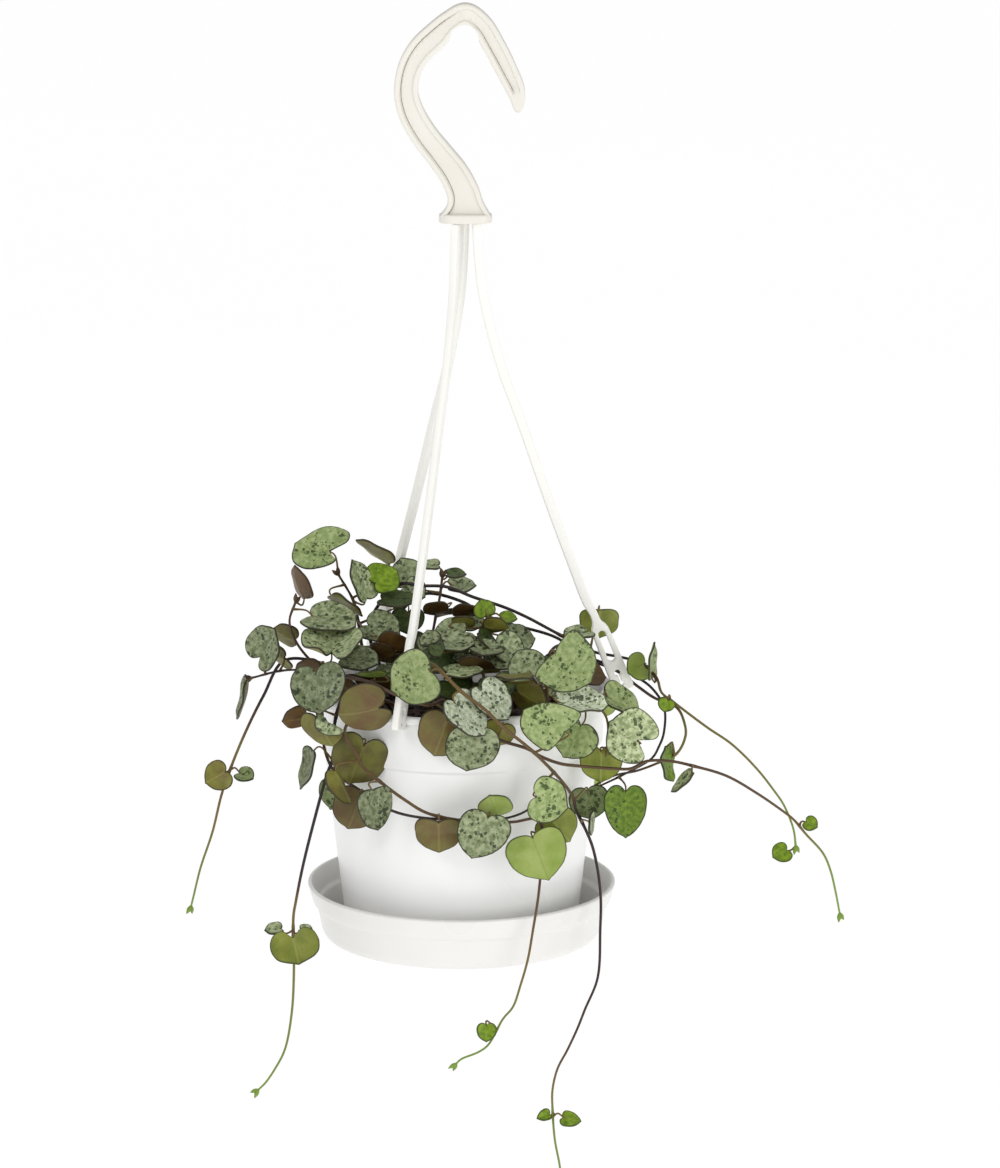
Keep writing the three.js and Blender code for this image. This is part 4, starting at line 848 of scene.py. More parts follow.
# The larger leaves, each with its stem, its place, its width, the way it faces in degrees from the front,
# how far its face lifts, how far its tip turns from straight down, and the side that shows.
LEAVES = [
    ("leaf_left_1", "vine_left_crown", (-59.4, 206.6, -6), 22, 0, 46, -104, "fresh"),
    ("leaf_left_2", "vine_left_crown", (-49, 229.2, 1), 17, 129, 50, -30, "olive"),
    ("leaf_left_3", "vine_left_clump", (-54.8, 235.2, 14), 22, 0, 70, 68, "silver"),
    ("leaf_left_4", "vine_left_clump", (-52.7, 244.6, 21), 27, 0, 67, 180, "silver"),
    ("leaf_left_5", "vine_left_runner", (-78.3, 246, 28), 19, -45, 10, 150, "silver"),
    ("leaf_left_6", "vine_left_runner", (-87.2, 265.5, 27), 18, -85, 12, 0, "silver"),
    ("leaf_left_7", "vine_left_runner", (-58.6, 263.4, 58), 22, 0, 25, 5, "silver"),
    ("leaf_left_8", "vine_left_trail", (-56.6, 279.8, 54), 19, 160, 20, -20, "olive"),
    ("leaf_left_9", "vine_front_swag", (-40.8, 272.6, 63), 22, 180, 25, 75, "tan"),
    ("leaf_left_10", "vine_left_trail", (-61.5, 294, 41), 18, -74, 14, 0, "silver"),
    ("leaf_left_11", "vine_left_trail", (-42.8, 293, 50.5), 23, 180, 8, 20, "olive"),
    ("leaf_left_12", "vine_swag_loop", (-43.8, 312.6, 55.2), 19, 190, 0, 20, "tan"),
    ("leaf_left_13", "vine_front_swag", (-36.8, 310.4, 69), 18.5, 45, 5, 0, "silver"),
    ("leaf_front_1", "vine_long_trail", (-19.9, 259.2, 70), 22, 0, 12, -65, "fresh"),
    ("leaf_front_2", "vine_long_trail", (-0.8, 273.6, 69.2), 20.5, 45, 38, 20, "frosted"),
    ("leaf_front_3", "vine_right_lower", (10.1, 268, 59.5), 19.5, 42, 38, 20, "frosted"),
    ("leaf_front_4", "vine_left_runner", (-9.2, 282, 62), 20, 180, 0, 20, "tan"),
    ("leaf_front_5", "vine_right_lower", (2.2, 288.6, 69.4), 21.5, 0, 12, -12, "silver"),
    ("leaf_front_6", "vine_long_trail", (34.2, 278.1, 68), 20, 0, 15, -118, "fresh"),
    ("leaf_front_7", "vine_long_trail", (33.8, 309.4, 64), 19, -15, 10, 75, "fresh"),
    ("leaf_front_8", "vine_front_swag", (29.4, 331.4, 64), 24, 180, 0, -20, "lime"),
    ("leaf_front_9", "vine_front_swag", (6.6, 322.3, 69), 21, 0, 10, -22, "silver"),
    ("leaf_front_10", "vine_front_swag", (-10.6, 322.8, 64), 19, 180, 25, 0, "tan"),
    ("leaf_right_1", "vine_right_crown", (41.3, 253.4, 56), 24.5, 0, 14, 51, "fresh"),
    ("leaf_right_2", "vine_right_crown", (43.6, 269.6, 56.4), 21.5, 0, 68, 84, "frosted"),
    ("leaf_right_3", "vine_right_crown", (60.6, 269, 32), 18, 53, 48, 45, "fresh"),
    ("leaf_right_4", "vine_right_crown", (63, 280.8, 50), 22, 10, 20, -125, "silver"),
    ("leaf_right_5", "vine_right_crown", (43.2, 283.8, 57), 20, -20, 10, -25, "fresh"),
    ("leaf_right_6", "vine_right_crown", (54, 294, 40), 17, 180, 0, 0, "moss"),
    ("leaf_right_7", "vine_right_loop", (63.9, 310.9, 46), 17.5, 0, 5, 0, "deep"),
    ("leaf_right_8", "vine_right_upper", (53, 235.9, -24), 16.5, 180, 0, 0, "moss"),
    ("leaf_trail_1", "vine_left_trail", (-68.2, 371.5, 54), 19.5, 0, 45, 12, "moss"),
    ("leaf_back_1", "vine_back_left", (-33, 272, -75), 20, 180, 15, 10, "olive"),
    ("leaf_back_2", "vine_back_middle", (-3, 272, -76), 21, 170, 20, 15, "olive"),
    ("leaf_back_3", "vine_back_right", (36, 272, -66), 20, 175, 10, -10, "lime"),
]

# The smaller and inner leaves grow as one piece with their stem. Each has its stem, its place, width, facing,
# lift and turn, the side that shows, how light it is from -1 to 1, and sometimes its own shape. How light it
# is mixes the leaf's own tone with painted shade on the inner leaves of the crown and painted light on leaves
# that others shade; the dark side is a painted-shade copy of the deep green.
SPROUTS = [
    ("vine_left_clump", (-65.5, 222, 2), 17, 118, 18, 165, "brown", -0.1,
     {"pinch": 0.8, "deep": 0.1, "long": 1.6, "roll": 0}),
    ("vine_left_clump", (-71.5, 241.5, 7), 13, 150, 30, 120, "olive", -0.5),
    ("vine_left_clump", (-41.3, 252, 25), 18, 0, 70, 70, "silver", -0.6),
    ("vine_left_clump", (-37, 258, 38), 16, 180, 76, 80, "lime", 0),
    ("vine_left_runner", (-74, 250, 22), 13, 130, 30, 90, "olive", -0.3),
    ("vine_swag_loop", (-68, 275.6, 38), 12, 200, 30, 80, "brown", 0),
    ("vine_swag_loop", (-51.7, 307, 38), 15, -25, 0, -20, "fresh", -0.45),
    ("vine_front_swag", (11.6, 312, 65), 14, 180, 20, 160, "lime", -0.5, {"pinch": 0.8, "deep": 0.1}),
    ("vine_front_swag", (37.5, 321, 57), 18, 180, 0, -40, "moss", 0.15, {"long": 1.3}),
    ("vine_long_trail", (49.5, 310, 40), 16.5, 0, 0, 10, "fresh", -0.75),
    ("vine_right_upper", (44.3, 241.5, 8), 14, 0, 80, -60, "silver", 0),
    ("vine_right_upper", (-27.2, 228.2, -4), 17, 0, 78, 80, "dark", -0.1, {"long": 1.7}),
    ("vine_right_upper", (-34.2, 209.5, -20), 18, 129, 48, 150, "olive", 0,
     {"long": 1.8, "deep": 0.12, "roll": 0}),
    ("vine_right_loop", (-23.5, 215.7, -28), 14, 0, 15, 200, "silver", 0),
    ("vine_left_crown", (-31.8, 218.6, -10), 15.5, 10, 44, 120, "young", 0, {"wave": 0.05}),
    ("vine_left_crown", (-41.2, 221.4, -2), 18.5, 66, 24, 180, "silver", 0.1,
     {"long": 1.75, "pinch": 0.7, "deep": 0.15, "roll": 0}),
    ("vine_left_crown", (-33, 239.4, 6), 19, 0, 60, 66, "silver", -0.5),
    ("vine_left_crown", (-29.5, 246.5, 15), 17, 180, 44, -60, "brown", -0.4, {"long": 1.6}),
    ("vine_back_crown", (-14, 213.5, -20), 10, 0, 78, -90, "silver", 0),
    ("vine_back_crown", (-3.5, 217, -20), 10, 0, 78, 90, "dark", 0.3),
    ("vine_back_crown", (-20, 224, -14), 12, 0, 30, 60, "silver", 0),
    ("vine_back_crown", (-1.2, 222, -25), 14, 0, 74, 90, "silver", 0),
    ("vine_back_crown", (-10.9, 231.9, -6), 15, 180, 58, 60, "brown", -0.7),
    ("vine_back_crown", (-13.9, 245.5, 5), 11, 0, 20, 10, "silver", -0.4),
    ("vine_middle_crown", (12, 238.5, 10), 13, 180, 50, -80, "olive", 0),
    ("vine_middle_crown", (7.5, 230.5, 2), 9, 0, 20, 200, "young", 0),
    ("vine_middle_crown", (17, 235, 2), 9, 0, 70, 84, "young", -0.1),
    ("vine_middle_crown", (0.5, 232.7, -2.6), 15, 180, 60, 60, "brown", -0.7),
    ("vine_middle_crown", (-1.2, 237, 8), 14, 180, 60, -60, "olive", 0),
    ("vine_middle_crown", (-5, 243, 15), 19, 0, 55, -60, "silver", -0.3),
    ("vine_middle_crown", (16, 249.2, 18), 18, 10, 35, 40, "silver", 0),
    ("vine_middle_crown", (9, 248, 26), 16, 15, 78, 60, "silver", -0.6),
    ("vine_middle_crown", (-1.7, 256.9, 33), 16, 0, 84, 100, "silver", 0.7, {"long": 1.7}),
    ("vine_right_crown", (24, 253.5, 33), 16, 0, 15, -150, "silver", 0),
    ("vine_right_crown", (21, 261, 45), 16, 180, 76, 90, "olive", -0.3),
    ("vine_right_upper", (73.3, 254.5, 1), 14.5, 76, 0, 176, "fresh", -0.3, {"long": 2, "deep": 0.1}),
    ("vine_right_upper", (68.1, 254.9, -3), 12, 25, 25, -70, "lime", -0.1),
    ("vine_right_upper", (79.7, 270, 14), 7, 0, 10, -20, "young", 0),
    ("vine_right_upper", (126, 331, 28), 9, 0, 40, -60, "young", 0),
    ("vine_right_inner_loop", (79.9, 291.2, 30), 14.5, 68, 0, 4, "deep", 0.3,
     {"long": 2, "deep": 0.15, "wave": 0.03}),
    ("vine_right_lower", (88, 301, 43), 13, -82, 44, 0, "silver", 0.1, {"long": 1.7, "deep": 0.15}),
    ("vine_right_lower", (138, 319, 36), 7, 0, 40, 60, "young", 0),
    ("vine_far_left", (-99, 299.5, 11), 13, 0, 25, -60, "olive", 0.4),
    ("vine_far_left", (-87.6, 299, 10), 9, 0, 60, 60, "fresh", -0.3),
    ("vine_front_swag", (-50, 301.7, 64), 15, -110, -28, 0, "olive", 0.1, {"long": 1.8, "fold": 20}),
    ("vine_left_trail", (-77, 363, 43), 9, 0, 72, -80, "silver", 0.2),
    ("vine_left_trail", (-64, 363, 43), 7, 0, 72, 80, "silver", 0.2),
    ("vine_front_swag", (8.3, 405.8, 63), 9, 0, 20, 0, "young", 0, {"fold": 30}),
    ("vine_long_trail", (50, 318.6, 47), 10, 75, 0, 60, "silver", -0.3),
    ("vine_long_trail", (32, 441, 42), 6, 0, 40, -70, "young", 0, {"long": 1.8, "pinch": 0.4, "fold": 30}),
    ("vine_long_trail", (41.5, 442.5, 42), 7.5, 0, 50, 70, "young", 0, {"long": 2.1, "pinch": 0.4}),
    ("vine_left_crown", (-27, 256.5, -4), 17, 20, 60, 40, "silver", -0.5),
    ("vine_left_crown", (-22.6, 236.2, -8), 14, 0, 40, 0, "dark", 0.3),
    ("vine_swag_loop", (-37, 261.4, 20), 15, 170, 40, 20, "brown", -0.6),
    ("vine_middle_crown", (-4, 249.6, 6), 18, 0, 65, -70, "silver", -0.5),
    ("vine_middle_crown", (5.9, 255.7, 8), 16, 180, 60, 60, "olive", -0.6),
    ("vine_middle_crown", (-3.7, 263.8, 24), 16, 0, 60, 30, "dark", 0.3),
    ("vine_middle_crown", (-2.8, 244.7, 22), 17, 0, 72, 85, "silver", -0.3),
    ("vine_right_crown", (13, 263.8, 34), 16, 0, 45, 20, "dark", 0.3),
    ("vine_right_crown", (25.7, 267.1, 44), 18, 150, 25, -60, "olive", -0.3),
    ("vine_right_crown", (39.6, 263.8, 22), 16, 10, 55, 60, "silver", -0.5),
    ("vine_right_crown", (50.5, 257.5, 2), 14, 40, 50, 60, "brown", -0.5),
    ("vine_left_clump", (-62, 255.8, 28), 14, 180, 50, 70, "brown", -0.5),
    ("vine_left_trail", (-50.5, 263.8, 40), 13, 170, 20, 10, "brown", -0.6),
    ("vine_right_lower", (13, 282, 60.5), 13, 180, 10, 20, "olive", 0.3),
    ("vine_back_crown", (-17.9, 247.5, -14), 16, 20, 50, -60, "dark", 0.3),
    ("vine_back_crown", (1.9, 236.2, -22), 15, 0, 60, 70, "silver", -0.4),
    ("vine_middle_crown", (21.7, 243.5, -4), 15, 10, 50, 90, "silver", -0.4),
    ("vine_right_crown", (32.8, 256.5, 10), 16, 0, 60, -30, "dark", 0.3),
    ("vine_middle_crown", (-11.2, 252, 20), 18, 0, 62, -80, "dark", -0.1),
    ("vine_middle_crown", (4.3, 254.5, 26), 18, 180, 62, -80, "brown", -0.6),
    ("vine_middle_crown", (9.8, 246.7, 16), 19, 82, 44, 0, "dark", -0.1, {"long": 1.7}),
    ("vine_right_crown", (20.1, 259.8, 50), 16, 180, 84, 85, "olive", -0.2, {"long": 1.7}),
    ("vine_left_crown", (-32.2, 250.4, 12), 16, 170, 50, 60, "brown", -0.7),
    ("vine_middle_crown", (-13.9, 242.7, 30), 9, -20, 40, -150, "silver", -0.6),
    ("vine_middle_crown", (-11.6, 247.5, 32), 8, 30, 20, 20, "dark", 0.3),
    ("vine_back_left", (-49, 276, -72), 17, 190, 10, 30, "olive", 0),
    ("vine_back_left", (-35, 298, -73), 17, 180, 10, -20, "olive", 0),
    ("vine_back_left", (-49, 300, -71), 15, 170, 0, 20, "lime", 0),
    ("vine_back_left", (-35, 325, -71), 14, 180, 10, 10, "olive", 0),
    ("vine_back_middle", (16, 274, -74), 18, 190, 10, -30, "olive", 0),
    ("vine_back_middle", (-3, 300, -73), 16, 175, 15, 20, "lime", 0),
    ("vine_back_middle", (13, 303, -73), 15, 190, 5, -10, "olive", 0),
    ("vine_back_middle", (3, 328, -71), 13, 180, 10, 20, "olive", 0),
    ("vine_back_right", (53, 270, -63), 15, 160, 20, 20, "lime", 0),
    ("vine_back_right", (35, 300, -63), 16, 180, 10, 10, "olive", 0),
    ("vine_back_right", (49, 303, -62), 13, 190, 0, -30, "lime", 0),
    ("vine_back_right", (38, 322, -61), 12, 180, 15, 0, "olive", 0),
]

# How old a stem's skin looks at its nodes, from 0, old and dark, to 1, the green growing tip.
AGES = {
    "vine_far_left": [(0, 0.05), (5, 0.12), (6.6, 0.6), (8, 0.55), (10, 0.75), (12, 0.92)],
    "vine_left_trail": [(0, 0.3), (2, 0.06), (8, 0.08), (9, 0.55), (10, 0.62), (12, 0.75), (16, 0.95)],
    "vine_front_swag": [(0, 0.3), (4, 0.45), (8, 0.48), (12, 0.4), (13, 0.45), (14, 0.3), (17, 0.5),
                        (20, 0.72), (25, 0.95)],
    "vine_long_trail": [(0, 0.4), (3, 0.58), (5, 0.5), (8, 0.45), (9, 0.2), (13, 0.14), (16, 0.3), (18, 0.5),
                        (20, 0.78), (24, 0.9)],
    "vine_right_upper": [(0, 0.08), (9, 0.1), (12, 0.3), (14, 0.58), (18, 0.68), (22, 0.95)],
    "vine_right_lower": [(0, 0.25), (5, 0.36), (9, 0.45), (15, 0.4), (18, 0.5), (20, 0.8), (23, 0.95)],
    "vine_right_loop": [(0, 0.05), (10, 0.1), (14, 0.16), (18, 0.4)],
    "vine_right_inner_loop": [(0, 0.15), (6, 0.3), (8, 0.66), (10, 0.66), (12, 0.4), (15, 0.38)],
    "vine_left_runner": [(0, 0.42), (4, 0.42), (7, 0.25), (9, 0.18)],
    "vine_swag_loop": [(0, 0.2), (5, 0.4), (7, 0.2), (10, 0.12), (13, 0.3)],
    "vine_left_crown": [(0, 0.3), (3, 0.42), (5, 0.4)],
    "vine_left_clump": [(0, 0.25), (6, 0.42)],
    "vine_back_crown": [(0, 0.25), (5, 0.4)],
    "vine_middle_crown": [(0, 0.3), (5, 0.75)],
    "vine_right_crown": [(0, 0.5), (7, 0.62)],
    "vine_back_left": [(0, 0.1), (5, 0.3), (8, 0.9)],
    "vine_back_middle": [(0, 0.1), (5, 0.3), (8, 0.9)],
    "vine_back_right": [(0, 0.1), (5, 0.3), (8, 0.9)],
}

# How each of the larger leaves differs from a plain heart; see Blade for the words.
SHAPES = {
    "leaf_left_1": {"deep": 0.5, "open": 0.4, "long": 1.3, "pinch": 0.75, "lean": 0.34, "cup": 0.1},
    "leaf_left_2": {"long": 1.7, "deep": 0.12, "pinch": 0.75, "tone_and_painted_light": -0.2},
    "leaf_left_3": {"long": 1.7, "deep": 0.2, "pinch": 0.85, "curl": -18, "tone_and_painted_light": -0.2},
    "leaf_left_4": {"deep": 1.1, "open": 0.28, "long": 1.2, "pinch": 0.85, "fold": 20, "wide": 0.5,
                    "roll": 0, "curl": 34, "tone_and_painted_light": 0.5},
    "leaf_left_5": {"deep": 0.35, "open": 0.2, "long": 1.5, "pinch": 0.7, "tone_and_painted_light": -0.75},
    "leaf_left_6": {"long": 1.75, "deep": 0.2, "curl": 15, "tone_and_painted_light": -0.7},
    "leaf_left_7": {"deep": 0.3, "long": 1.48, "pinch": 0.66, "skew": -0.05, "lean": -0.08, "tone_and_painted_light": -0.95},
    "leaf_left_8": {"creases": [(0.06, -0.02, 242, -150, 0.9)], "long": 1.5, "tone_and_painted_light": -0.2},
    "leaf_left_9": {"creases": [(-0.15, 0.05, 72, 22, 2)], "deep": 0.4, "open": 0.2, "long": 1.5,
                    "pinch": 0.85, "tone_and_painted_light": -0.4},
    "leaf_left_10": {"long": 1.8, "deep": 0.1, "curl": 20, "tone_and_painted_light": -0.9},
    "leaf_left_11": {"long": 1.45, "pinch": 0.82, "deep": 0.35, "fold": 16, "wide": 0.5, "tone_and_painted_light": -0.65},
    "leaf_left_12": {"long": 1.5, "pinch": 0.78, "tone_and_painted_light": -0.7},
    "leaf_left_13": {"long": 1.7, "deep": 0.1, "pinch": 0.8, "tone_and_painted_light": -0.9},
    "leaf_front_1": {"long": 1.5, "pinch": 0.8, "deep": 0.16, "fold": 3, "tone_and_painted_light": -0.4},
    "leaf_front_2": {"long": 1.7, "deep": 0.25, "pinch": 0.75, "tone_and_painted_light": -0.05},
    "leaf_front_3": {"long": 1.6, "deep": 0.25, "pinch": 0.7, "tone_and_painted_light": 0},
    "leaf_front_4": {"long": 1.5, "pinch": 0.8},
    "leaf_front_5": {"long": 1.32, "deep": 0.36, "open": 0.26, "pinch": 0.78, "lean": -0.1, "cup": 0.1,
                     "tone_and_painted_light": -0.55},
    "leaf_front_6": {"long": 1.8, "deep": 0.1, "wide": 0.6, "shoulder": 0.35, "pinch": 0.75, "lean": 0.25},
    "leaf_front_7": {"deep": 0.24, "open": 0.16, "wave": 0.035, "long": 1.4, "cup": 0.12, "tone_and_painted_light": 0.2},
    "leaf_front_8": {"deep": 0.22, "long": 1.5, "pinch": 0.5, "open": 0.05, "wide": 0.6, "fold": -5,
                     "tone_and_painted_light": -0.25},
    "leaf_front_9": {"deep": 0.24, "long": 1.6, "pinch": 0.6, "lean": -0.1, "tone_and_painted_light": -0.45},
    "leaf_front_10": {"creases": [(0, 0.3, 0, -32, 0.8)], "long": 1.36, "pinch": 0.9, "deep": 0.12,
                      "tone_and_painted_light": -0.3},
    "leaf_right_1": {"wide": 0.66, "deep": 0.1, "shoulder": 0.35, "long": 1.46, "pinch": 0.8, "fold": 3,
                     "roll": -6, "cup": 0.03, "tone_and_painted_light": -0.25},
    "leaf_right_2": {"long": 1.75, "deep": 0.3, "pinch": 0.7, "wave": 0.03, "fold": 14, "tone_and_painted_light": 0.6},
    "leaf_right_3": {"long": 1.75, "deep": 0.2, "fold": 20, "pinch": 0.7},
    "leaf_right_4": {"deep": 0.55, "open": 0.28, "long": 1.2, "pinch": 0.7, "wide": 0.56, "fold": 4,
                     "tone_and_painted_light": 0.5},
    "leaf_right_6": {"long": 1.5, "pinch": 0.7, "tone_and_painted_light": 0.6},
    "leaf_right_7": {"deep": 0.36, "long": 2.05, "pinch": 0.55, "shoulder": 0.55, "open": 0.12},
    "leaf_right_8": {"deep": 0.03, "open": 0.02, "long": 1.42, "pinch": 1.02, "shoulder": 0.5,
                     "wide": 0.44, "curl": 0, "roll": 0},
    "leaf_trail_1": {"deep": 0.34, "open": 0.3, "long": 1.25, "pinch": 0.85, "wide": 0.56},
}


def sight(place):
    """Where (across, down, out) lies."""
    across, down, out = place
    return EYE.lerp(Vector((across, 0, -down)), 1 + out / EYE.y)


def heart_edge(wide, deep, spread, long, shoulder, pinch):
    """One half of a heart's outline in halves of its width, from its notch to its tip."""
    spans = [
        ((0, 0), (spread, -0.76 * deep), (wide - 0.24, -1.06 * deep), (wide, -0.94 * deep)),
        ((wide, -0.94 * deep), (wide + 0.32, -0.7 * deep), (1.04, shoulder - 0.38), (0.98, shoulder)),
        ((0.98, shoulder), (0.92, shoulder + 0.48 * (long - shoulder)), (pinch, long - 0.2), (0, long)),
    ]
    edge = []
    for (a, b, c, d), cuts in zip(spans, (9, 10, 13)):
        for k in range(cuts):
            u = k / cuts
            v = 1 - u
            blend = (v ** 3, 3 * v * v * u, 3 * v * u * u, u ** 3)
            edge.append(tuple(sum(share * p for share, p in zip(blend, line)) for line in zip(a, b, c, d)))
    return [*edge, (0, long + 0.03)]


class Blade:
    """A heart-shaped blade in its place. Its bends are: fold, how far each half turns up about the midrib;
    curl, how far it bends from notch to tip; roll, how far from side to side; cup and wave, as shares of its
    width; and creases, each a line (x, y, heading) in shares of the width and degrees, with the angle turned
    up beyond it and the radius of the crease. Its outline has lobes as wide, deep and open as stated, and a
    long, pinched tip below its shoulder; skew widens one half, and lean slides one lobe back. Its tone is how
    light it is from -1 to 1: partly the leaf's own tone, and partly painted shade deep in the crown and
    painted light where other leaves shade it."""

    def __init__(self, name, middle, width, facing, lift, turn, shape):
        self.width = width
        self.dice = random.Random(name)
        self.shape = {"fold": 7, "curl": self.dice.uniform(-14, 26), "roll": self.dice.uniform(-22, 8),
                      "cup": 0.07, "wave": 0.016, "creases": [], "wide": 0.54, "deep": 0.28, "open": 0.08,
                      "long": 1.4, "shoulder": 0.5, "pinch": 0.64, "skew": 0, "lean": 0, "tone_and_painted_light": 0, **shape}
        self.seed = self.dice.uniform(10, 900)
        self.phase = self.dice.uniform(0, 6.28)
        side, up, spin = map(math.radians, (facing, lift, turn))
        self.face = Vector((math.sin(side) * math.cos(up), -math.cos(side) * math.cos(up), math.sin(up)))
        downhill = Vector((math.sin(side) * math.sin(up), -math.cos(side) * math.sin(up), -math.cos(up)))
        level = Vector((math.cos(side), math.sin(side), 0))
        self.tip = downhill * math.cos(spin) + level * math.sin(spin)
        self.lobes = self.tip.cross(self.face)
        self.middle = sight(middle)
        self.notch = self.middle - self.tip * (LEAF_MIDDLE * width)
        self.top_shows = self.face.dot(EYE - self.middle) > 0

    def at(self, x, y, height=0.0):
        """Where a point of the flat blade ends up: x and y in millimetres from the notch."""
        shape, width = self.shape, self.width
        y -= LEAF_MIDDLE * width
        angle, reach = math.atan2(y, x), math.hypot(x, y) / (width / 2)
        height += width * (shape["cup"] * reach * reach / 2
                           + shape["wave"] * reach ** 3 * math.sin(5 * angle + self.phase))
        for start_x, start_y, heading, turned_up, radius in shape["creases"]:
            x, y, height = creased(x, y, height, start_x * width, (start_y - LEAF_MIDDLE) * width,
                                   heading, turned_up, radius)
        fold = math.radians(shape["fold"])
        hinge = 0.05 * width
        lifted = math.sin(fold) * (math.hypot(x, hinge) - hinge)
        lean = math.sin(fold) * x / math.hypot(x, hinge)
        x, height = x * math.cos(fold) - height * lean, height * math.cos(fold) + lifted
        x, height = arched(x, height, math.radians(shape["roll"]) / width)
        y, height = arched(y, height, math.radians(shape["curl"]) / width)
        return self.middle + self.lobes * x + self.tip * y + self.face * height


def arched(along, height, bend):
    """Bends a straight line into an arc."""
    if abs(bend) < 1e-6:
        return along, height
    reach = 1 / bend - height
    return reach * math.sin(along * bend), 1 / bend - reach * math.cos(along * bend)


def creased(x, y, height, start_x, start_y, heading, turned_up, radius):
    """Turns up what lies beyond a crease, to the left of its heading."""
    way = Vector((math.cos(math.radians(heading)), math.sin(math.radians(heading))))
    over = Vector((-way.y, way.x))
    offset = Vector((x - start_x, y - start_y))
    beyond = offset.dot(over)
    if beyond <= 0:
        return x, y, height
    sign = 1 if turned_up > 0 else -1
    angle = math.radians(abs(turned_up))
    height *= sign
    turn = min(beyond / radius, angle)
    rest = beyond - radius * turn
    out = (radius - height) * math.sin(turn) + rest * math.cos(turn)
    rise = radius - (radius - height) * math.cos(turn) + rest * math.sin(turn)
    foot = offset - over * beyond
    place = foot + over * out + Vector((start_x, start_y))
    return place.x, place.y, rise * sign


class Growth:
    """The skin of one living piece: its points and faces, and what each point tells its material."""

    def __init__(self):
        self.points, self.faces, self.finishes, self.materials = [], [], [], []
        self.marks = {"blade": [], "margin": [], "tone_and_painted_light": [], "age": []}

    def point(self, place, blade, margin=FAR_INSIDE, tone_and_painted_light=0.0, age=0.5):
        """Adds a point, with its place on the flat blade or stem, distance from the margin, tone with its
        painted light and shade, and age.
        """
        self.points.append(place)
        for name, value in (("blade", blade), ("margin", margin), ("tone_and_painted_light", tone_and_painted_light), ("age", age)):
            self.marks[name].append(value)
        return len(self.points) - 1

    def skin(self, faces, material):
        """Adds faces of one material."""
        if material not in self.materials:
            self.materials.append(material)
        self.faces += faces
        self.finishes += [self.materials.index(material)] * len(faces)

    def finish(self, name, slot, node):
        """Makes the piece and hands its marks to the materials."""
        piece = make_piece(name, self.points, self.faces, self.materials)
        piece.data.polygons.foreach_set("material_index", self.finishes)
        for mark in ("margin", "tone_and_painted_light", "age"):
            piece.data.attributes.new(mark, "FLOAT", "POINT").data.foreach_set("value", self.marks[mark])
        flat = [c for place in self.marks["blade"] for c in place]
        piece.data.attributes.new("blade", "FLOAT_VECTOR", "POINT").data.foreach_set("vector", flat)
        stand_for(piece, slot, node)

    def tube(self, line, radii, ages):
        """A round stem along a line of points, closed and rounded at both ends."""
        seed = random.Random(len(self.points)).uniform(0, 50)
        start = (line[1] - line[0]).normalized()
        across = start.orthogonal().normalized()
        rings, length = [], 0
        end = (line[-1] - line[-2]).normalized()
        stations = [(line[0] - start * radii[0] * 0.5, 0, END_SHARE)]
        stations += [(place, i, 1) for i, place in enumerate(line)]
        stations.append((line[-1] + end * radii[-1] * 0.5, len(line) - 1, END_SHARE))
        for place, i, swell in stations:
            along = (line[min(i + 1, len(line) - 1)] - line[max(i - 1, 0)]).normalized()
            across = (across - along * across.dot(along)).normalized()
            aside = along.cross(across)
            length += (line[i] - line[i - 1]).length if i else 0
            ring = []
            for k in range(STEM_SIDES):
                angle = 2 * math.pi * k / STEM_SIDES
                way = across * math.cos(angle) + aside * math.sin(angle)
                skin_place = (math.cos(angle), length, seed)
                ring.append(self.point(place + way * radii[i] * swell, skin_place, age=ages[i]))
            rings.append(ring)
        self.skin(bridged(rings), STEM)

    def blade(self, blade, finish):
        """A fleshy blade: an upper and an under skin that meet in a rounded margin."""
        width, shape = blade.width, blade.shape
        tone_and_painted_light = shape["tone_and_painted_light"]
        half = heart_edge(*(shape[key] for key in ("wide", "deep", "open", "long", "shoulder", "pinch")))
        skew = shape["skew"] + blade.dice.uniform(-0.03, 0.03)
        edge = [(x * (1 + skew) * width / 2, y * width / 2) for x, y in half]
        edge += [(-x * (1 - skew) * width / 2, y * width / 2) for x, y in reversed(half[1:-1])]
        edge = [Vector((x, y - shape["lean"] * x)) for x, y in edge]
        edge = [p * (1 + 0.012 * noise.noise(Vector((p.x * 0.5, p.y * 0.5, blade.seed)))) for p in edge]
        centre = Vector((0, LEAF_MIDDLE * width))
        names = [finish, OTHER_SIDE[finish]] if blade.top_shows else [OTHER_SIDE[finish], finish]
        rim = [self.blade_point(blade, point, 0, 0, tone_and_painted_light) for point in edge]
        for side, name in zip((1, -1), names):
            rings = []
            for share in RINGS_ACROSS:
                ring = []
                for point in edge:
                    inset = (1 - share) * (point - centre).length
                    thick = LEAF_THICKNESS / 2 * math.sqrt(1 - (1 - min(inset / MARGIN_ROUND, 1)) ** 2)
                    ring.append(self.blade_point(blade, centre.lerp(point, share), side * thick, inset, tone_and_painted_light))
                rings.append(ring)
            rings.append(rim)
            hub = self.blade_point(blade, centre, side * LEAF_THICKNESS / 2, FAR_INSIDE, tone_and_painted_light)
            faces = []
            for k in range(len(edge)):
                n = (k + 1) % len(edge)
                faces.append((hub, rings[0][k], rings[0][n]))
                faces += [(low[k], high[k], high[n], low[n]) for low, high in zip(rings, rings[1:])]
            if side < 0:
                faces = [tuple(reversed(face)) for face in faces]
            self.skin(faces, FACES[name])

    def blade_point(self, blade, flat, height, margin, tone_and_painted_light):
        """A point of the blade's skin; the midrib stands out below and sinks a little above."""
        along = flat.y / blade.width
        rib = math.exp(-(flat.x / RIB_WIDTH) ** 2) * max(0, 1 - max(0, along - 0.3) / 0.4)
        height -= rib * (RIB_BELOW if height < 0 else RIB_ABOVE if height > 0 else 0)
        return self.point(blade.at(flat.x, flat.y, height), (flat.x, flat.y, blade.seed), margin, tone_and_painted_light)


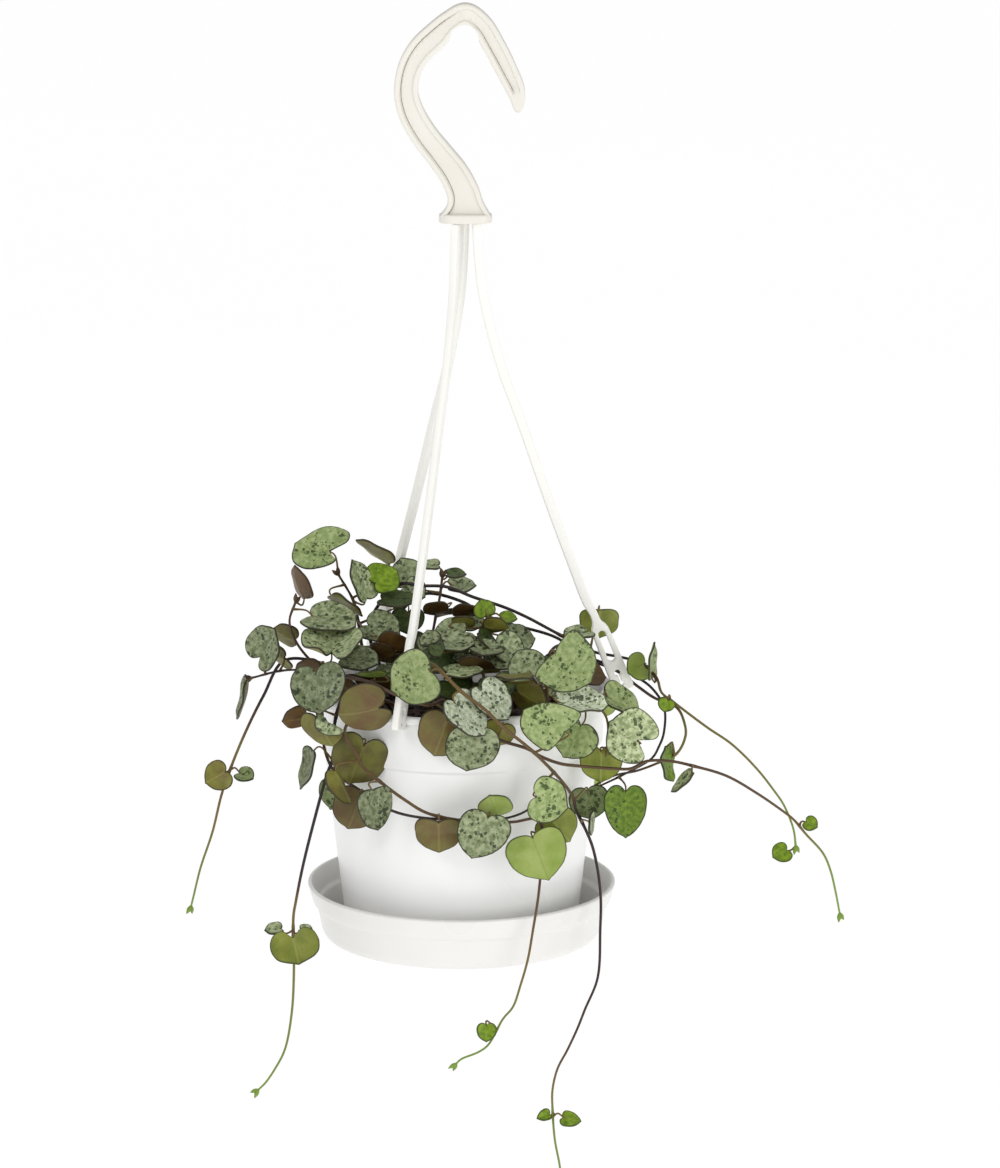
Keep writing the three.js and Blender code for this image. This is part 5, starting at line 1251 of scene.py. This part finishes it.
def grow_petiole(growth, path, blade, joins):
    """A leaf stalk from the nearest point of its stem to the blade's midrib, just inside its notch."""
    above = [place for place, along in path if along > 1.5]
    node = min(above, key=lambda p: (p - blade.notch).length)
    side = 1 if (node - blade.notch).dot(blade.face) > 0 else -1
    inside = blade.at(0, 0.13 * blade.width, side * 0.1)
    end = blade.at(0, 0.02 * blade.width, side * 0.25)
    before = end - blade.tip * STALK_BACK + blade.face * (side * STALK_LIFT)
    line = [p for p, _ in smooth_line([node, before, end, inside], STALK_STEP)]
    count = len(line) - 1
    shares = [i / count for i in range(count + 1)]
    radii = [PETIOLE_RADIUS * (1.25 - 0.35 * min(1, 4 * share) - 0.25 * share) for share in shares]
    growth.tube(line, radii, [STALK_AGE + 0.1 * share for share in shares])
    joins.append(node)


def grow_bud(growth, tip, heading, age):
    """The growing tip: two tiny leaves still pressed together."""
    aside = heading.orthogonal().normalized()
    for side in (-1, 1):
        way = (heading + aside * side * 0.28).normalized()
        start = tip + heading * -0.3
        line = [start + way * (0.7 * k) + aside * (side * 0.12 * k) for k in range(len(BUD_RADII))]
        growth.tube(line, BUD_RADII, [age] * len(line))


def make_vine(name, root, nodes):
    """One stem from the soil to its growing tip, with its smaller leaves and the stalks of all its leaves."""
    x, y = root
    points = [Vector((x, y, SOIL_Z - ROOT_DEPTH)), Vector((x, y, SOIL_Z + ROOT_RISE)), *map(sight, nodes)]
    path = smooth_line(points, STEM_STEP)
    growth = Growth()
    joins = []
    ages = AGES[name]
    for leaf, vine, middle, width, facing, lift, turn, finish in LEAVES:
        if vine == name:
            blade = Blade(leaf, middle, width, facing, lift, turn, SHAPES.get(leaf, {}))
            grow_petiole(growth, path, blade, joins)
    for i, (vine, middle, width, facing, lift, turn, finish, tone_and_painted_light, *shape) in enumerate(SPROUTS):
        if vine == name:
            looks = {"tone_and_painted_light": tone_and_painted_light, **(shape[0] if shape else {})}
            blade = Blade(f"sprout {i}", middle, width, facing, lift, turn, looks)
            grow_petiole(growth, path, blade, joins)
            growth.blade(blade, finish)
    line = [place for place, _ in path]
    count = len(line) - 1
    radii = []
    for i, place in enumerate(line):
        swell = sum(math.exp(-((place - join).length / NODE_LENGTH) ** 2) for join in joins)
        radii.append(STEM_RADIUS * (1 - STEM_TAPER * (i / count) ** 1.5) * (1 + NODE_SWELL * min(swell, 1)))
    growth.tube(line, radii, [at_share(ages, along) for _, along in path])
    grow_bud(growth, line[-1], (line[-1] - line[-2]).normalized(), ages[-1][1])
    growth.finish(name.replace("vine", "stem"), "stem", name)


def make_leaf(name, middle, width, facing, lift, turn, finish):
    """One of the larger leaves, beside the end of its stalk."""
    growth = Growth()
    growth.blade(Blade(name, middle, width, facing, lift, turn, SHAPES.get(name, {})), finish)
    growth.finish(name.replace("leaf", "blade"), "leaf", name)


# ---------------------------------------------------------------- studio


# Each softbox: its place and what it is aimed at in metres, its size in metres, and its power in watts.
SOFTBOXES = [
    ("key", (-0.9, -1.3, 0.85), (0, 0, -0.25), (0.7, 0.7), 7.5),
    ("fill", (1.5, -1.4, -0.1), (0, 0, -0.32), (1.3, 1.0), 11),
    ("low_fill", (-0.1, -1.6, -0.2), (0, 0, -0.34), (1.4, 0.3), 1.5),
]


def softbox(name, place, target, size, power):
    """A large soft lamp, aimed at a point of the object."""
    lamp = bpy.data.lights.new(name, "AREA")
    lamp.shape = "RECTANGLE"
    lamp.size, lamp.size_y = size
    lamp.energy = power
    light = bpy.data.objects.new(name, lamp)
    light.location = place
    light.rotation_euler = (Vector(target) - light.location).to_track_quat("-Z", "Y").to_euler()
    bpy.context.collection.objects.link(light)


def set_up_studio():
    """The camera, the pale floor and the soft light."""
    scene = bpy.context.scene
    lens = bpy.data.cameras.new("studio_camera")
    lens.sensor_width = 36
    lens.lens = LENS
    lens.clip_end = 200
    camera = bpy.data.objects.new("studio_camera", lens)
    camera.location = EYE * MM
    camera.rotation_euler = (math.radians(90 - LOOK_DOWN), 0, 0)
    bpy.context.collection.objects.link(camera)
    scene.camera = camera

    # Seamless white paper lit from below, so that it stays pale from every side.
    material, tree, shader = new_material("backlit_white_paper", 0.9)
    shader.inputs["Emission Color"].default_value = (1, 1, 1, 1)
    shader.inputs["Emission Strength"].default_value = PAPER_GLOW
    place = add(tree, "ShaderNodeTexCoord", {}, "Object")
    wear = add(tree, "ShaderNodeTexNoise", {"Vector": place, "Scale": 0.4, "Detail": 2.0})
    whites = {0: wear, 6: colour("#F8F8F8"), 7: colour("#FBFBFB")}
    tree.links.new(add(tree, "ShaderNodeMix", whites, 2, data_type="RGBA"), shader.inputs["Base Color"])
    corners = [(x * FLOOR_REACH, y * FLOOR_REACH, FLOOR_Z) for x, y in ((-1, -1), (1, -1), (1, 1), (-1, 1))]
    make_piece("studio_floor", corners, [(0, 1, 2, 3)], [material])

    world = bpy.data.worlds.new("studio_air")
    world.use_nodes = True
    air = world.node_tree.nodes["Background"].inputs
    air[0].default_value = (1, 1, 1, 1)
    air[1].default_value = AIR_GLOW
    scene.world = world
    scene.view_settings.view_transform = "Standard"
    for name, *lamp in SOFTBOXES:
        softbox(name, *lamp)


make_hook()
for arm_name, (arm_top, arm_angle) in ARMS.items():
    make_arm(arm_name, arm_top, arm_angle)
make_pot()
make_saucer()
make_soil(random.Random("potting mix"))
for vine_name, (vine_root, vine_nodes) in VINES.items():
    make_vine(vine_name, vine_root, vine_nodes)
for leaf_name, _, *placing in LEAVES:
    make_leaf(leaf_name, *placing)
set_up_studio()
